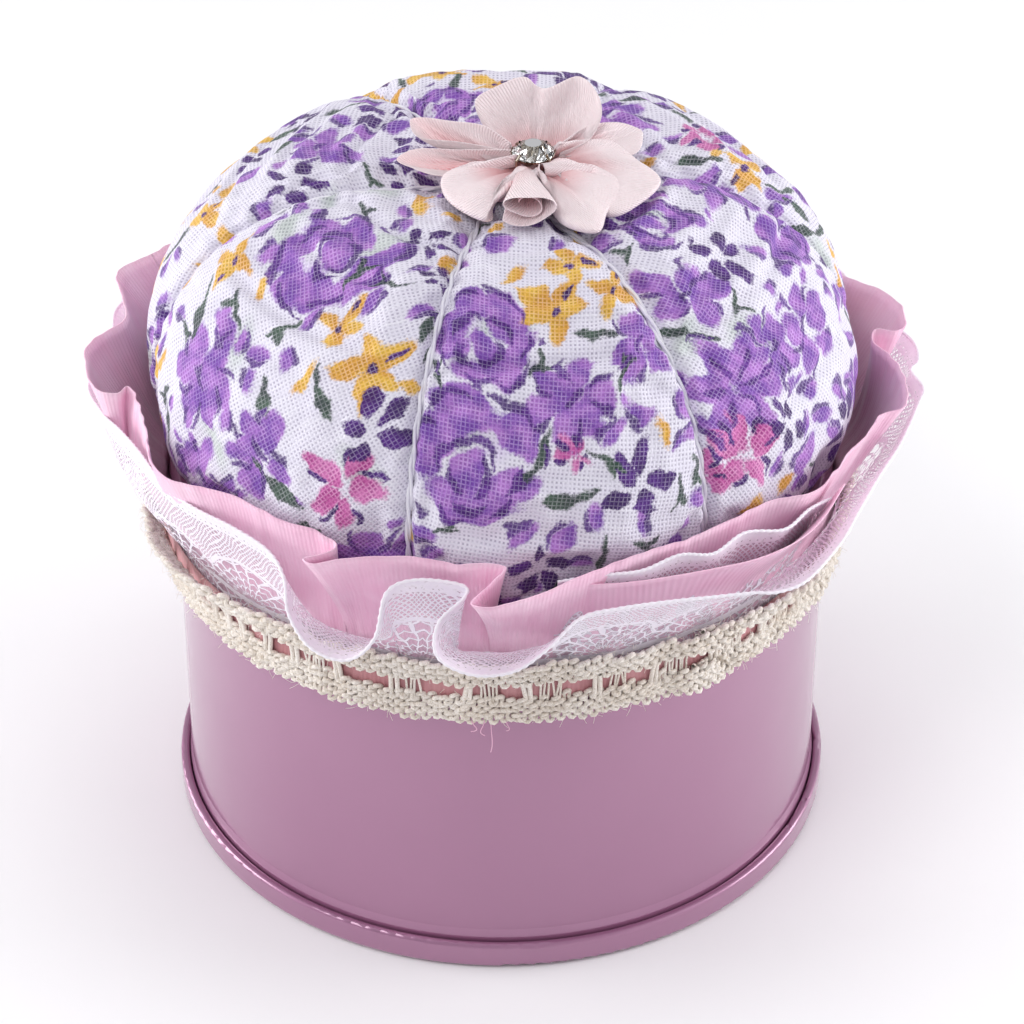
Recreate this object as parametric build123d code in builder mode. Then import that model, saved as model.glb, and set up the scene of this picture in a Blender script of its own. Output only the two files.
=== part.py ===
from build123d import *
from math import cos, radians, sin, sqrt
import os

# A round painted tin with a slip-on lid. A stuffed six-lobed pin cushion is glued on the lid,
# with a ribbon ruffle, a lace ruffle and a crochet band round its foot and a ribbon flower on top.
# Millimetres, +Z up. The origin is the centre of the face that the tin stands on, and -Y is the front.

# Tinplate
sheet = 0.25                    # thickness of all the tinplate
wall_radius = 38.0              # outside of the tin's wall
wall_top = 45.575               # top of the wall's hem
wall_hem = 1.2                  # depth of the hem folded inwards at the mouth
hem_offset = 0.5                # from the wall's centreline to its hem's
neck_low = 3.6                  # where the wall starts to draw in above its seam
neck_high = 4.6
neck_round = 0.5                # bends where the wall draws in
lock_seam_width = 5.0           # side seam of the rolled wall, on its inner face, at the back
lock_seam_depth = 0.5
lock_seam_low = 4.9
lock_seam_high = 43.9
seam_line_width = 0.36          # outer line of the side seam
seam_line_depth = 0.12

# Double seam that joins the wall to the bottom: radii of the five layers' centrelines
chuck_radius = 37.75
body_radius = 38.1
end_hook_radius = 38.45
body_hook_radius = 38.8
seam_radius = 39.275
seam_height = 3.1
end_hook_low = 1.2
body_hook_low = 0.62
body_hook_high = 2.3
panel_height = 2.6              # centreline of the bottom panel above the table
seam_foot_round = 0.45
seam_top_round = 0.35
fold_round = 0.3
hook_round = 0.2                # bends of the wall's hem and hook
crimp_azimuths = (62.0, 70.0)   # two tool marks on the seam's top edge
crimp_radius = 0.6
crimp_depth = 0.15

# Lid
lid_gap = 0.3                   # under the lid's plate, above the wall's hem
skirt_clearance = 0.35
skirt_low = 37.0
skirt_hem = 1.8
skirt_hem_offset = 0.35
skirt_hem_round = 0.15
lid_round = 1.0
glue_gap = 0.05                 # between glued pieces

# Cushion: three tangent arcs from the middle of the top, over the crown and down to the flat foot
crown_radius = 16.0             # where a lobe is highest
crown_height = 83.2
dimple_depth = 3.7
belly_radius = 40.6
foot_arc = 12.0
cover_thickness = 0.4
groove_radius = 2.2
pit_radius = 3.2                # round hollow where the grooves meet
groove_start = 1.9
groove_azimuths = (-80.0, -14.6, 34.0, 90.0, 153.0, 214.0)   # from the front, towards +X
thread_radius = 0.45
thread_start = 2.2
mouth_radius = 6.0              # gathered mouth under the cushion
mouth_recess = 1.4
gather_ring = 5.3
gather_thread = 0.35
knot_radius = 1.6
knot_height = 1.4
knot_round = 0.5

# Cardboard disc between lid and cushion
board_radius = 33.0
board_thickness = 1.0

# Ruffles and band round the lid
ribbon_thickness = 0.3
ribbon_foot = 38.85
ribbon_edge = (47.2, 59.8)
lace_thickness = 0.3
lace_foot = 39.3
lace_edge = (49.1, 54.0)
ruffle_low = 42.3
ruffle_bend = 46.0
ruffle_round = 5.0
band_inside = 39.05
band_outside = 40.1
band_waist = 42.0
band_top = 46.0
band_flare = 1.1                # how far the ruffles' feet push the upper edge out
band_taper = 0.35               # the band is thinner at its upper edge
band_step = 0.6                 # clearance round the ruffles' feet
band_step_rise = 0.3

# Ribbon flower and stone
backing_radius = 6.0
backing_low = 82.0
backing_thickness = 1.25
petal_count = 7
petal_middle = 8.6
petal_length = 9.8
petal_width = 6.2
petal_height = 3.0
petal_round = 0.9
setting_radius = 2.3
setting_flare = 2.7
setting_height = 2.6
setting_floor = 0.4
claw_count = 4
claw_arc = 22.0                 # degrees
claw_root = 0.3                 # depth of a claw's root below the cup's rim
claw_swell = 0.05
claw_shoulder = 0.25            # heights of a claw's outer and inner corners above the rim
claw_top = 0.7
claw_tip = 0.55
claw_lean = 0.3                 # how far a claw's top leans in
claw_reach = 0.15               # how far its tip covers the stone
claw_seat = 0.1                 # where its inner face starts
stone_radius = 2.2
stone_girdle = 0.15             # upright edge between the stone's crown and its back
stone_table = 1.25
stone_crown = 1.0
stone_pavilion = 1.8
stone_culet = 0.25
fit_gap = 0.08

# Values that follow
wall_line = wall_radius - sheet / 2
wall_top_line = wall_top - sheet / 2
skirt_line = wall_radius + skirt_clearance + sheet / 2
lid_line = wall_top + lid_gap + sheet / 2
lid_top = lid_line + sheet / 2
board_low = lid_top + glue_gap
cushion_low = board_low + board_thickness + glue_gap
dimple_arc = (crown_radius ** 2 + dimple_depth ** 2) / (2 * dimple_depth)
petal_low = backing_low + backing_thickness + glue_gap
girdle_height = petal_low + setting_height
belly_height = crown_height - (belly_radius - crown_radius)


def dimple_height(radius, inset):
    """Height of the dimpled top at a radius inside the crown, inset from the skin."""
    reach = dimple_arc - inset
    return crown_height - dimple_arc + sqrt(reach ** 2 - (crown_radius - radius) ** 2)


def foot_point(inset):
    """Where the belly's lower arc meets the flat foot, inset from the skin."""
    drop = belly_height - cushion_low - inset
    radius = belly_radius - foot_arc + sqrt((foot_arc - inset) ** 2 - drop ** 2)
    return radius, belly_height - drop


def meridian(inset, start=0.0):
    """Lines of the outline in an open BuildLine, from the radius start down to the foot."""
    half = (start + crown_radius) / 2
    crown = (crown_radius, crown_height - inset)
    belly = (belly_radius - inset, belly_height)
    ThreePointArc((start, dimple_height(start, inset)), (half, dimple_height(half, inset)), crown)
    TangentArc(crown, belly, tangent=(1, 0))
    TangentArc(belly, foot_point(inset), tangent=(0, -1))


def meridian_plane(azimuth):
    """Upright plane through the axis whose local x points outwards at that azimuth."""
    outwards = Vector(sin(radians(azimuth)), -cos(radians(azimuth)), 0)
    return Plane(origin=(0, 0, 0), x_dir=outwards, z_dir=outwards.cross(Vector(0, 0, 1)))


def folded_sheet(points, corners):
    """Solid of revolution of a folded sheet; corners are the radii of its bends, in order."""
    with BuildPart() as shell:
        with BuildSketch(Plane.XZ):
            with BuildLine():
                FilletPolyline(*points, radius=corners)
            trace(line_width=sheet)
        revolve(axis=Axis.Z)
    return shell


def tin_wall():
    """Rolled wall with its mouth hem, its hook in the double seam and its side seam."""
    hem = wall_line - hem_offset
    outline = [
        (hem, wall_top_line - wall_hem),
        (hem, wall_top_line),
        (wall_line, wall_top_line),
        (wall_line, neck_high),
        (body_radius, neck_low),
        (body_radius, body_hook_low),
        (body_hook_radius, body_hook_low),
        (body_hook_radius, body_hook_high),
    ]
    corners = [hook_round, hook_round, neck_round, neck_round, hook_round, hook_round]
    wall = folded_sheet(outline, corners)
    span = lock_seam_high - lock_seam_low
    strip_outer = wall_radius - sheet / 2
    strip_depth = lock_seam_depth + sheet / 2
    strip_plane = Plane.XY.offset(lock_seam_low)
    with BuildPart() as name:
        add(wall.part)
        with BuildSketch(strip_plane):
            with Locations((0, strip_outer - strip_depth / 2)):
                Rectangle(lock_seam_width, strip_depth)
        extrude(amount=span)
        with BuildSketch(strip_plane):
            with Locations((0, wall_radius)):
                Rectangle(seam_line_width, 2 * seam_line_depth)
        extrude(amount=span, mode=Mode.SUBTRACT)
    return name


def tin_bottom():
    """Bottom panel with the recessed chuck wall, the foot and the hook of the double seam."""
    foot = sheet / 2
    outline = [
        (0, panel_height),
        (chuck_radius, panel_height),
        (chuck_radius, foot),
        (seam_radius, foot),
        (seam_radius, seam_height),
        (end_hook_radius, seam_height),
        (end_hook_radius, end_hook_low),
    ]
    corners = [fold_round, fold_round, seam_foot_round, seam_top_round, fold_round]
    bottom = folded_sheet(outline, corners)
    crimp_height = seam_height + sheet / 2 + crimp_radius - crimp_depth
    with BuildPart() as name:
        add(bottom.part)
        for azimuth in crimp_azimuths:
            turn = radians(azimuth)
            radius = (end_hook_radius + seam_radius) / 2
            with Locations((radius * sin(turn), -radius * cos(turn), crimp_height)):
                Sphere(crimp_radius, mode=Mode.SUBTRACT)
    return name


def lid_shell():
    """Lid plate and skirt in one piece, with the skirt's edge folded back outwards."""
    hem = skirt_line + skirt_hem_offset
    low = skirt_low + sheet / 2
    outline = [
        (0, lid_line),
        (skirt_line, lid_line),
        (skirt_line, low),
        (hem, low),
        (hem, low + skirt_hem),
    ]
    return folded_sheet(outline, [lid_round, skirt_hem_round, skirt_hem_round])


def cushion_board():
    """Cardboard disc that the cushion is stitched down to."""
    with BuildPart() as name:
        with BuildSketch(Plane.XY.offset(board_low)):
            Circle(board_radius)
        extrude(amount=board_thickness)
    return name


def lobed_body(inset, groove):
    """The cushion's body, inset from its skin, with a groove of that radius at each seam."""
    foot = foot_point(inset)
    with BuildPart() as name:
        with BuildSketch(Plane.XZ):
            with BuildLine():
                meridian(inset)
                Polyline(foot, (0, foot[1]), (0, dimple_height(0, inset)))
            make_face()
        revolve(axis=Axis.Z)
        with Locations((0, 0, dimple_height(0, 0))):
            Sphere(groove + pit_radius - groove_radius, mode=Mode.SUBTRACT)
        for azimuth in groove_azimuths:
            with BuildLine(meridian_plane(azimuth)) as route:
                meridian(0, groove_start)
            with BuildSketch(Plane(route.line @ 0, z_dir=route.line % 0)):
                Circle(groove)
            sweep(path=route.line, mode=Mode.SUBTRACT)
    return name


def cushion_cover():
    """Sewn cotton cover: a thin skin, gathered to a round mouth underneath."""
    inner = lobed_body(cover_thickness, groove_radius + cover_thickness)
    with BuildPart() as name:
        add(lobed_body(0, groove_radius).part)
        add(inner.part, mode=Mode.SUBTRACT)
        with BuildSketch(Plane.XY.offset(cushion_low)):
            Circle(mouth_radius)
        extrude(amount=mouth_recess, mode=Mode.SUBTRACT)
    return name


def cushion_stuffing():
    """Fibre stuffing that fills the cover, with a hollow over the gathered mouth."""
    inset = cover_thickness + glue_gap
    with BuildPart() as name:
        add(lobed_body(inset, groove_radius + inset).part)
        with BuildSketch(Plane.XY.offset(cushion_low)):
            Circle(mouth_radius + cover_thickness)
        extrude(amount=mouth_recess, mode=Mode.SUBTRACT)
    return name


def gathering_thread():
    """Ring of thread that draws the cover's mouth together."""
    height = cushion_low + gather_thread + glue_gap
    with BuildPart() as name:
        with BuildSketch(Plane.XZ):
            with Locations((gather_ring, height)):
                Circle(gather_thread)
        revolve(axis=Axis.Z)
    return name


def segment_thread(azimuth):
    """Thread pulled tight in one seam, from the knot down to the cushion's foot."""
    inset = groove_radius - thread_radius - glue_gap
    with BuildPart() as name:
        with BuildLine(meridian_plane(azimuth)) as route:
            meridian(inset, thread_start)
        with BuildSketch(Plane(route.line @ 0, z_dir=route.line % 0)):
            Circle(thread_radius)
        sweep(path=route.line)
    return name


def crown_knot():
    """Knot of the six threads in the middle of the top."""
    inset = groove_radius - thread_radius - glue_gap
    low = dimple_height(0, inset) - knot_height / 2
    with BuildPart() as name:
        with BuildSketch(Plane.XY.offset(low)):
            Circle(knot_radius)
        extrude(amount=knot_height)
        fillet(name.edges(), knot_round)
    return name


def ruffle(foot, edge, thickness):
    """Gathered strip as a flaring ring: upright where it is glued, then leaning out to its free edge."""
    with BuildPart() as name:
        with BuildSketch(Plane.XZ):
            with BuildLine():
                FilletPolyline((foot, ruffle_low), (foot, ruffle_bend), edge, radius=ruffle_round)
            trace(line_width=thickness)
        revolve(axis=Axis.Z)
    return name


def crochet_band():
    """Cotton lace band glued round the skirt, its upper edge pushed out by the ruffles' feet."""
    outline = [
        (band_inside, skirt_low),
        (band_outside, skirt_low),
        (band_outside, band_waist),
        (band_outside + band_flare, band_top),
        (band_inside + band_flare + band_taper, band_top),
        (band_inside + band_step, band_waist + band_step_rise),
        (band_inside, band_waist),
    ]
    with BuildPart() as name:
        with BuildSketch(Plane.XZ):
            with BuildLine():
                Polyline(*outline, close=True)
            make_face()
        revolve(axis=Axis.Z)
    return name


def flower_backing():
    """Felt disc that the petals are glued to."""
    with BuildPart() as name:
        with BuildSketch(Plane.XY.offset(backing_low)):
            Circle(backing_radius)
        extrude(amount=backing_thickness)
    return name


def flower_petal(index):
    """One folded loop of ribbon."""
    azimuth = radians(360 / petal_count * index)
    outwards = Vector(sin(azimuth), -cos(azimuth), 0)
    place = Plane(origin=outwards * petal_middle + Vector(0, 0, petal_low), x_dir=outwards)
    with BuildPart() as name:
        with BuildSketch(place):
            Ellipse(petal_length / 2, petal_width / 2)
        extrude(amount=petal_height)
        fillet(name.faces().sort_by(Axis.Z)[-1].edges(), petal_round)
    return name


def stone_setting():
    """Metal cup with claws bent over the stone's edge."""
    seat = stone_radius + fit_gap
    low = petal_low
    high = girdle_height
    floor = low + setting_floor
    cup = [
        (0, low),
        (setting_radius, low),
        (setting_flare, high),
        (seat + fit_gap, high),
        (stone_culet + fit_gap, floor),
        (0, floor),
    ]
    claw = [
        (seat + fit_gap, high - claw_root),
        (setting_flare, high - claw_root),
        (setting_flare + claw_swell, high + claw_shoulder),
        (setting_flare - claw_lean, high + claw_top),
        (stone_radius - claw_reach, high + claw_tip),
        (seat + fit_gap, high + claw_seat),
    ]
    with BuildPart() as name:
        with BuildSketch(Plane.XZ):
            with BuildLine():
                Polyline(*cup, close=True)
            make_face()
        revolve(axis=Axis.Z)
        for index in range(claw_count):
            turn = 360 / claw_count * (index + 0.5)
            with BuildSketch(meridian_plane(turn)):
                with BuildLine():
                    Polyline(*claw, close=True)
                make_face()
            revolve(axis=Axis.Z, revolution_arc=claw_arc)
    return name


def rhinestone():
    """Cut glass stone: a pointed back under a bevelled crown."""
    high = girdle_height
    outline = [
        (0, high - stone_pavilion),
        (stone_culet, high - stone_pavilion),
        (stone_radius, high),
        (stone_radius, high + stone_girdle),
        (stone_table, high + stone_crown),
        (0, high + stone_crown),
    ]
    with BuildPart() as name:
        with BuildSketch(Plane.XZ):
            with BuildLine():
                Polyline(*outline, close=True)
            make_face()
        revolve(axis=Axis.Z)
    return name


def save(name, label):
    """Labels a finished piece and writes its STEP file."""
    name.part.label = label
    export_step(name.part, f"parts/{label}.step")


os.makedirs("parts", exist_ok=True)
save(tin_wall(), "tin_wall")
save(tin_bottom(), "tin_bottom")
save(lid_shell(), "lid_shell")
save(cushion_board(), "cushion_board")
save(cushion_stuffing(), "cushion_stuffing")
save(cushion_cover(), "cushion_cover")
save(gathering_thread(), "gathering_thread")
save(crown_knot(), "crown_knot")
for number, seam_azimuth in enumerate(groove_azimuths, 1):
    save(segment_thread(seam_azimuth), f"segment_thread_{number}")
save(ruffle(ribbon_foot, ribbon_edge, ribbon_thickness), "ribbon_ruffle")
save(ruffle(lace_foot, lace_edge, lace_thickness), "lace_ruffle")
save(crochet_band(), "crochet_band")
save(flower_backing(), "flower_backing")
for number in range(petal_count):
    save(flower_petal(number), f"flower_petal_{number + 1}")
save(stone_setting(), "stone_setting")
save(rhinestone(), "rhinestone")
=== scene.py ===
import math

import bpy
import numpy as np
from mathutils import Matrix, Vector


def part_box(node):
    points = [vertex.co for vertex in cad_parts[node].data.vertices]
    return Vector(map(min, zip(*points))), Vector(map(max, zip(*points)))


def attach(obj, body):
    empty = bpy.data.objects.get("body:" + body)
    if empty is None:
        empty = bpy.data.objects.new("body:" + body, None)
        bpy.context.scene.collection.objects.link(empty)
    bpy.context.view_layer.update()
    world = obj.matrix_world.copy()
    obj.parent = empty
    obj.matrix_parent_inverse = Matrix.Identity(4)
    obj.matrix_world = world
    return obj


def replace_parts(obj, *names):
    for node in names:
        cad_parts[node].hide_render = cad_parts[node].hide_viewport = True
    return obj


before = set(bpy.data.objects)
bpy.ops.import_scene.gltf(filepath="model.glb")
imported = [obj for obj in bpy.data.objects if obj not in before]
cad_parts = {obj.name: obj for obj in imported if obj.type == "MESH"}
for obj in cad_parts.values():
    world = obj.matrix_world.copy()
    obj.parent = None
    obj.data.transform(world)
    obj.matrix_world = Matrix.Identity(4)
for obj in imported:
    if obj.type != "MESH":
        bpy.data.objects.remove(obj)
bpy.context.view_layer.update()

# Shapes are worked out in millimetres and written to meshes in metres. Azimuths are in degrees
# from the front, -Y, towards +X.
MM = 0.001


# ---------------------------------------------------------------- helpers

def srgb(red, green, blue):
    """Linear colour of a display colour given from 0 to 255."""
    out = []
    for value in (red, green, blue):
        c = value / 255
        out.append(c / 12.92 if c <= 0.04045 else ((c + 0.055) / 1.055) ** 2.4)
    return (*out, 1.0)


def polar(azimuth, radius, height):
    """Points in mm at these azimuths, radii and heights."""
    turn = np.radians(azimuth)
    azimuth, radius, height = np.broadcast_arrays(turn, radius, height)
    return np.stack([radius * np.sin(azimuth), -radius * np.cos(azimuth), height], -1)


def low_mm(node):
    return np.array(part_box(node)[0]) / MM


def high_mm(node):
    return np.array(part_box(node)[1]) / MM


def smoothstep(value, low, high):
    t = np.clip((value - low) / (high - low), 0, 1)
    return t * t * (3 - 2 * t)


def cubic(values, factor, wrap):
    """Rows of values refined by a Catmull-Rom spline, factor new rows for each old one."""
    v = np.asarray(values, float)
    if wrap:
        before, after, last = np.roll(v, 1, 0), np.roll(v, -1, 0), np.roll(v, -2, 0)
    else:
        padded = np.concatenate([2 * v[:1] - v[1:2], v, 2 * v[-1:] - v[-2:-1]])
        before, v, after, last = padded[:-3], padded[1:-2], padded[2:-1], padded[3:]
    rows = []
    for step in range(factor):
        t = step / factor
        rows.append(0.5 * (2 * v + (after - before) * t
                           + (2 * before - 5 * v + 4 * after - last) * t * t
                           + (3 * v - before - 3 * after + last) * t ** 3))
    out = np.stack(rows, 1).reshape(-1, *v.shape[1:])
    return out if wrap else np.concatenate([out, np.asarray(values, float)[-1:]])


def smooth_noise(shape, knots, seed):
    """Smooth random values from about -1 to 1 over a grid whose second side is closed."""
    rng = np.random.default_rng(seed)
    field = rng.uniform(-1, 1, knots)
    rows = np.linspace(0, knots[0] - 1, shape[0])
    columns = np.linspace(0, knots[1], shape[1], endpoint=False)
    fine = np.zeros((shape[0], knots[1]))
    for k in range(knots[1]):
        fine[:, k] = np.interp(rows, np.arange(knots[0]), field[:, k])
    left = np.floor(columns).astype(int) % knots[1]
    right = (left + 1) % knots[1]
    t = columns - np.floor(columns)
    t = t * t * (3 - 2 * t)
    return fine[:, left] * (1 - t) + fine[:, right] * t


def walked(path):
    """Distance along a path at each of its points."""
    steps = np.linalg.norm(np.diff(path, axis=0), axis=1)
    return np.concatenate([[0], np.cumsum(steps)])


def steps(points, axis):
    """Distances between neighbouring points of a grid, along one of its sides."""
    return np.linalg.norm(np.diff(points, axis=axis), axis=2)


def new_mesh(name, points, faces, slot, material):
    """A mesh piece from points in mm. Every piece made here rides on the lid."""
    mesh = bpy.data.meshes.new(name)
    points = np.asarray(points, float).reshape(-1, 3)
    faces = np.asarray(faces, np.int32)
    mesh.vertices.add(len(points))
    mesh.vertices.foreach_set("co", (points * MM).astype(np.float32).ravel())
    sides = faces.shape[1]
    mesh.loops.add(faces.size)
    mesh.loops.foreach_set("vertex_index", faces.ravel())
    mesh.polygons.add(len(faces))
    mesh.polygons.foreach_set("loop_start", np.arange(0, faces.size, sides, dtype=np.int32))
    mesh.update(calc_edges=True)
    mesh.validate()
    piece = bpy.data.objects.new(name, mesh)
    bpy.context.scene.collection.objects.link(piece)
    mesh.polygons.foreach_set("use_smooth", np.ones(len(mesh.polygons), bool))
    mesh.materials.append(material)
    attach(piece, "lid")
    return piece


def grid_faces(rows, columns, wrap):
    """Quads of a grid of points; wrap closes it along its columns."""
    across = columns if wrap else columns - 1
    i, j = np.meshgrid(np.arange(rows - 1), np.arange(across), indexing="ij")
    a, b = i * columns + j, i * columns + (j + 1) % columns
    return np.stack([a, b, b + columns, a + columns], -1).reshape(-1, 4).astype(np.int32)


def attribute(piece, name, values):
    """Stores a number or a vector at each point of a piece."""
    values = np.asarray(values, np.float32)
    if values.ndim == 1:
        layer = piece.data.attributes.new(name, "FLOAT", "POINT")
        layer.data.foreach_set("value", values)
    else:
        layer = piece.data.attributes.new(name, "FLOAT_VECTOR", "POINT")
        layer.data.foreach_set("vector", values.ravel())


def apply_modifiers(piece):
    """Writes the piece's modifiers into its mesh."""
    depsgraph = bpy.context.evaluated_depsgraph_get()
    mesh = bpy.data.meshes.new_from_object(piece.evaluated_get(depsgraph))
    piece.modifiers.clear()
    piece.data = mesh
    return piece


def thicken(piece, thickness):
    """Gives a sheet its real thickness, in mm, half to each side."""
    modifier = piece.modifiers.new("thickness", "SOLIDIFY")
    modifier.thickness = thickness * MM
    modifier.offset = 0
    modifier.use_even_offset = False
    return apply_modifiers(piece)


def tubes(paths, radius, sides=6, closed=False, outward=None):
    """Points and quads of round tubes along paths, an array of (path, point, xyz) in mm."""
    paths = np.asarray(paths, float)
    if closed:
        tangent = np.roll(paths, -1, 1) - np.roll(paths, 1, 1)
    else:
        tangent = np.gradient(paths, axis=1)
    tangent /= np.linalg.norm(tangent, axis=-1, keepdims=True)
    guide = paths * (1, 1, 0) if outward is None else np.broadcast_to(outward, paths.shape)
    side = np.cross(tangent, guide)
    side /= np.linalg.norm(side, axis=-1, keepdims=True) + 1e-12
    up = np.cross(side, tangent)
    angles = np.linspace(0, 2 * np.pi, sides, endpoint=False)
    radius = np.broadcast_to(radius, paths.shape[:2])[..., None, None]
    ring = (side[:, :, None] * np.cos(angles)[:, None] + up[:, :, None] * np.sin(angles)[:, None])
    points = paths[:, :, None] + radius * ring
    count, length = paths.shape[:2]
    ends = length if closed else length - 1
    p, k, s = np.meshgrid(np.arange(count), np.arange(ends), np.arange(sides), indexing="ij")
    nxt, turn = (k + 1) % length, (s + 1) % sides
    base = p * length * sides
    quads = np.stack([base + k * sides + s, base + k * sides + turn,
                      base + nxt * sides + turn, base + nxt * sides + s], -1).reshape(-1, 4)
    return points.reshape(-1, 3), quads


class Graph:
    """A material's node tree, built from a principled shader backwards."""

    def __init__(self, name, **surface):
        self.material = bpy.data.materials.new(name)
        self.material.use_nodes = True
        self.tree = self.material.node_tree
        self.surface = self.tree.nodes["Principled BSDF"]
        for key, value in surface.items():
            self.surface.inputs[key.replace("_", " ")].default_value = value

    def node(self, kind, inputs=(), **settings):
        made = self.tree.nodes.new(kind)
        for key, value in settings.items():
            setattr(made, key, value)
        for key, value in dict(inputs).items():
            if isinstance(value, bpy.types.NodeSocket):
                self.tree.links.new(value, made.inputs[key])
            else:
                made.inputs[key].default_value = value
        return made

    def math(self, operation, *values, clamp=False):
        inputs = dict(enumerate(values))
        return self.node("ShaderNodeMath", inputs, operation=operation, use_clamp=clamp).outputs[0]

    def times(self, first, second):
        return self.math("MULTIPLY", first, second)

    def plus(self, first, second):
        return self.math("ADD", first, second)

    def read(self, name, vector=False):
        return self.node("ShaderNodeAttribute", attribute_name=name).outputs[1 if vector else 2]

    def split(self, vector):
        return self.node("ShaderNodeSeparateXYZ", {0: vector}).outputs

    def join(self, x, y):
        return self.node("ShaderNodeCombineXYZ", {0: x, 1: y}).outputs[0]

    def noise(self, vector, scale, detail=2.0, roughness=0.5):
        inputs = {"Vector": vector, "Scale": scale, "Detail": detail, "Roughness": roughness}
        return self.node("ShaderNodeTexNoise", inputs).outputs[0]

    def step(self, value, low, high, out_low=0.0, out_high=1.0):
        """Smooth step of value between low and high."""
        inputs = {0: value, 1: low, 2: high, 3: out_low, 4: out_high}
        return self.node("ShaderNodeMapRange", inputs, interpolation_type="SMOOTHSTEP").outputs[0]

    def mix(self, share, first, second, blend="MIX"):
        inputs = {0: share, 6: first, 7: second}
        return self.node("ShaderNodeMix", inputs, data_type="RGBA", blend_type=blend).outputs[2]

    def wave(self, value, period):
        """From 0 between two threads to 1 at the middle of one, along a length in mm."""
        turns = self.math("MULTIPLY_ADD", value, 2 * math.pi / period, 0.0)
        return self.math("MULTIPLY_ADD", self.math("COSINE", turns), -0.5, 0.5)

    def colour(self, value):
        self.link(value, "Base Color")

    def link(self, value, socket):
        self.tree.links.new(value, self.surface.inputs[socket])

    def bump(self, height, distance, strength=1.0):
        made = self.node("ShaderNodeBump", {"Strength": strength, "Distance": distance * MM,
                                            "Height": height})
        self.link(made.outputs[0], "Normal")

    def place(self):
        """Position in mm, in the object's own frame."""
        coordinates = self.node("ShaderNodeTexCoord").outputs["Object"]
        scale = self.node("ShaderNodeVectorMath", {0: coordinates, 3: 1 / MM}, operation="SCALE")
        return scale.outputs[0]


# ---------------------------------------------------------------- camera, floor and light

def aim(thing, target):
    direction = Vector(target) - thing.location
    thing.rotation_euler = direction.to_track_quat("-Z", "Y").to_euler()


def make_camera():
    """Camera at the photograph's angle: 35 degrees above the middle of the tin's height."""
    distance, elevation, target = 0.4275, math.radians(35.4), Vector((0, 0, 0.038))
    data = bpy.data.cameras.new("camera")
    camera = bpy.data.objects.new("camera", data)
    bpy.context.scene.collection.objects.link(camera)
    back = Vector((0, -math.cos(elevation), math.sin(elevation)))
    camera.location = target + back * distance
    aim(camera, target)
    data.lens = 127.5
    data.shift_x = 0.0105
    data.shift_y = -0.0115
    data.clip_start = 0.01
    bpy.context.scene.camera = camera


def make_light(name, place, size, power):
    data = bpy.data.lights.new(name, "AREA")
    data.shape = "DISK"
    data.size = size
    data.energy = power
    light = bpy.data.objects.new(name, data)
    bpy.context.scene.collection.objects.link(light)
    light.location = place
    aim(light, (0, 0, 0.05))


def make_studio():
    """Pale floor, pale surroundings and five soft lamps."""
    scene = bpy.context.scene
    scene.view_settings.view_transform = "Standard"
    world = bpy.data.worlds.new("studio")
    world.use_nodes = True
    world.node_tree.nodes["Background"].inputs[0].default_value = (0.96, 0.96, 1.0, 1)
    world.node_tree.nodes["Background"].inputs[1].default_value = 0.52
    scene.world = world
    mesh = bpy.data.meshes.new("floor")
    half = 3.0
    mesh.from_pydata([(-half, -half, 0), (half, -half, 0), (half, half, 0), (-half, half, 0)],
                     [], [(0, 1, 2, 3)])
    floor = bpy.data.objects.new("floor", mesh)
    floor.location.z = -0.0002
    scene.collection.objects.link(floor)
    paper = Graph("floor_paper", Roughness=0.9)
    shade = paper.noise(paper.place(), 0.02)
    paper.colour(paper.mix(shade, (0.95, 0.95, 0.955, 1), (0.97, 0.97, 0.975, 1)))
    floor.data.materials.append(paper.material)
    make_light("key", (-0.35, -0.45, 0.75), 0.40, 1.7)
    make_light("fill", (0.60, -0.35, 0.45), 0.50, 0.5)
    make_light("top", (0.05, 0.25, 0.80), 0.50, 1.2)
    make_light("left", (-0.50, 0.04, 0.14), 0.34, 1.6)
    make_light("right", (0.50, 0.04, 0.14), 0.34, 1.6)


make_camera()
make_studio()

# ---------------------------------------------------------------- cushion shape

SEAMS = (-80.0, -14.6, 34.0, 90.0, 153.0, 214.0)
LOBES = len(SEAMS)
COLUMNS = 25          # of one lobe, before refining
REFINE = 6
CROWN_RADIUS = 16.0
DIMPLE_DEPTH = 3.7
POLE = 1.2            # radius of the cover's first row, under the knot
FOOT_ARC = 12.0
GROOVE = 2.0          # depth of a seam below the lobes
THREAD = 0.21         # radius of one of a thread's two plies
cover_low, cover_high = low_mm("cushion_cover"), high_mm("cushion_cover")
CROWN_HEIGHT = cover_high[2]
BELLY_RADIUS = 40.6
BELLY_HEIGHT = CROWN_HEIGHT - (BELLY_RADIUS - CROWN_RADIUS)
FOOT_HEIGHT = cover_low[2]


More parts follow.
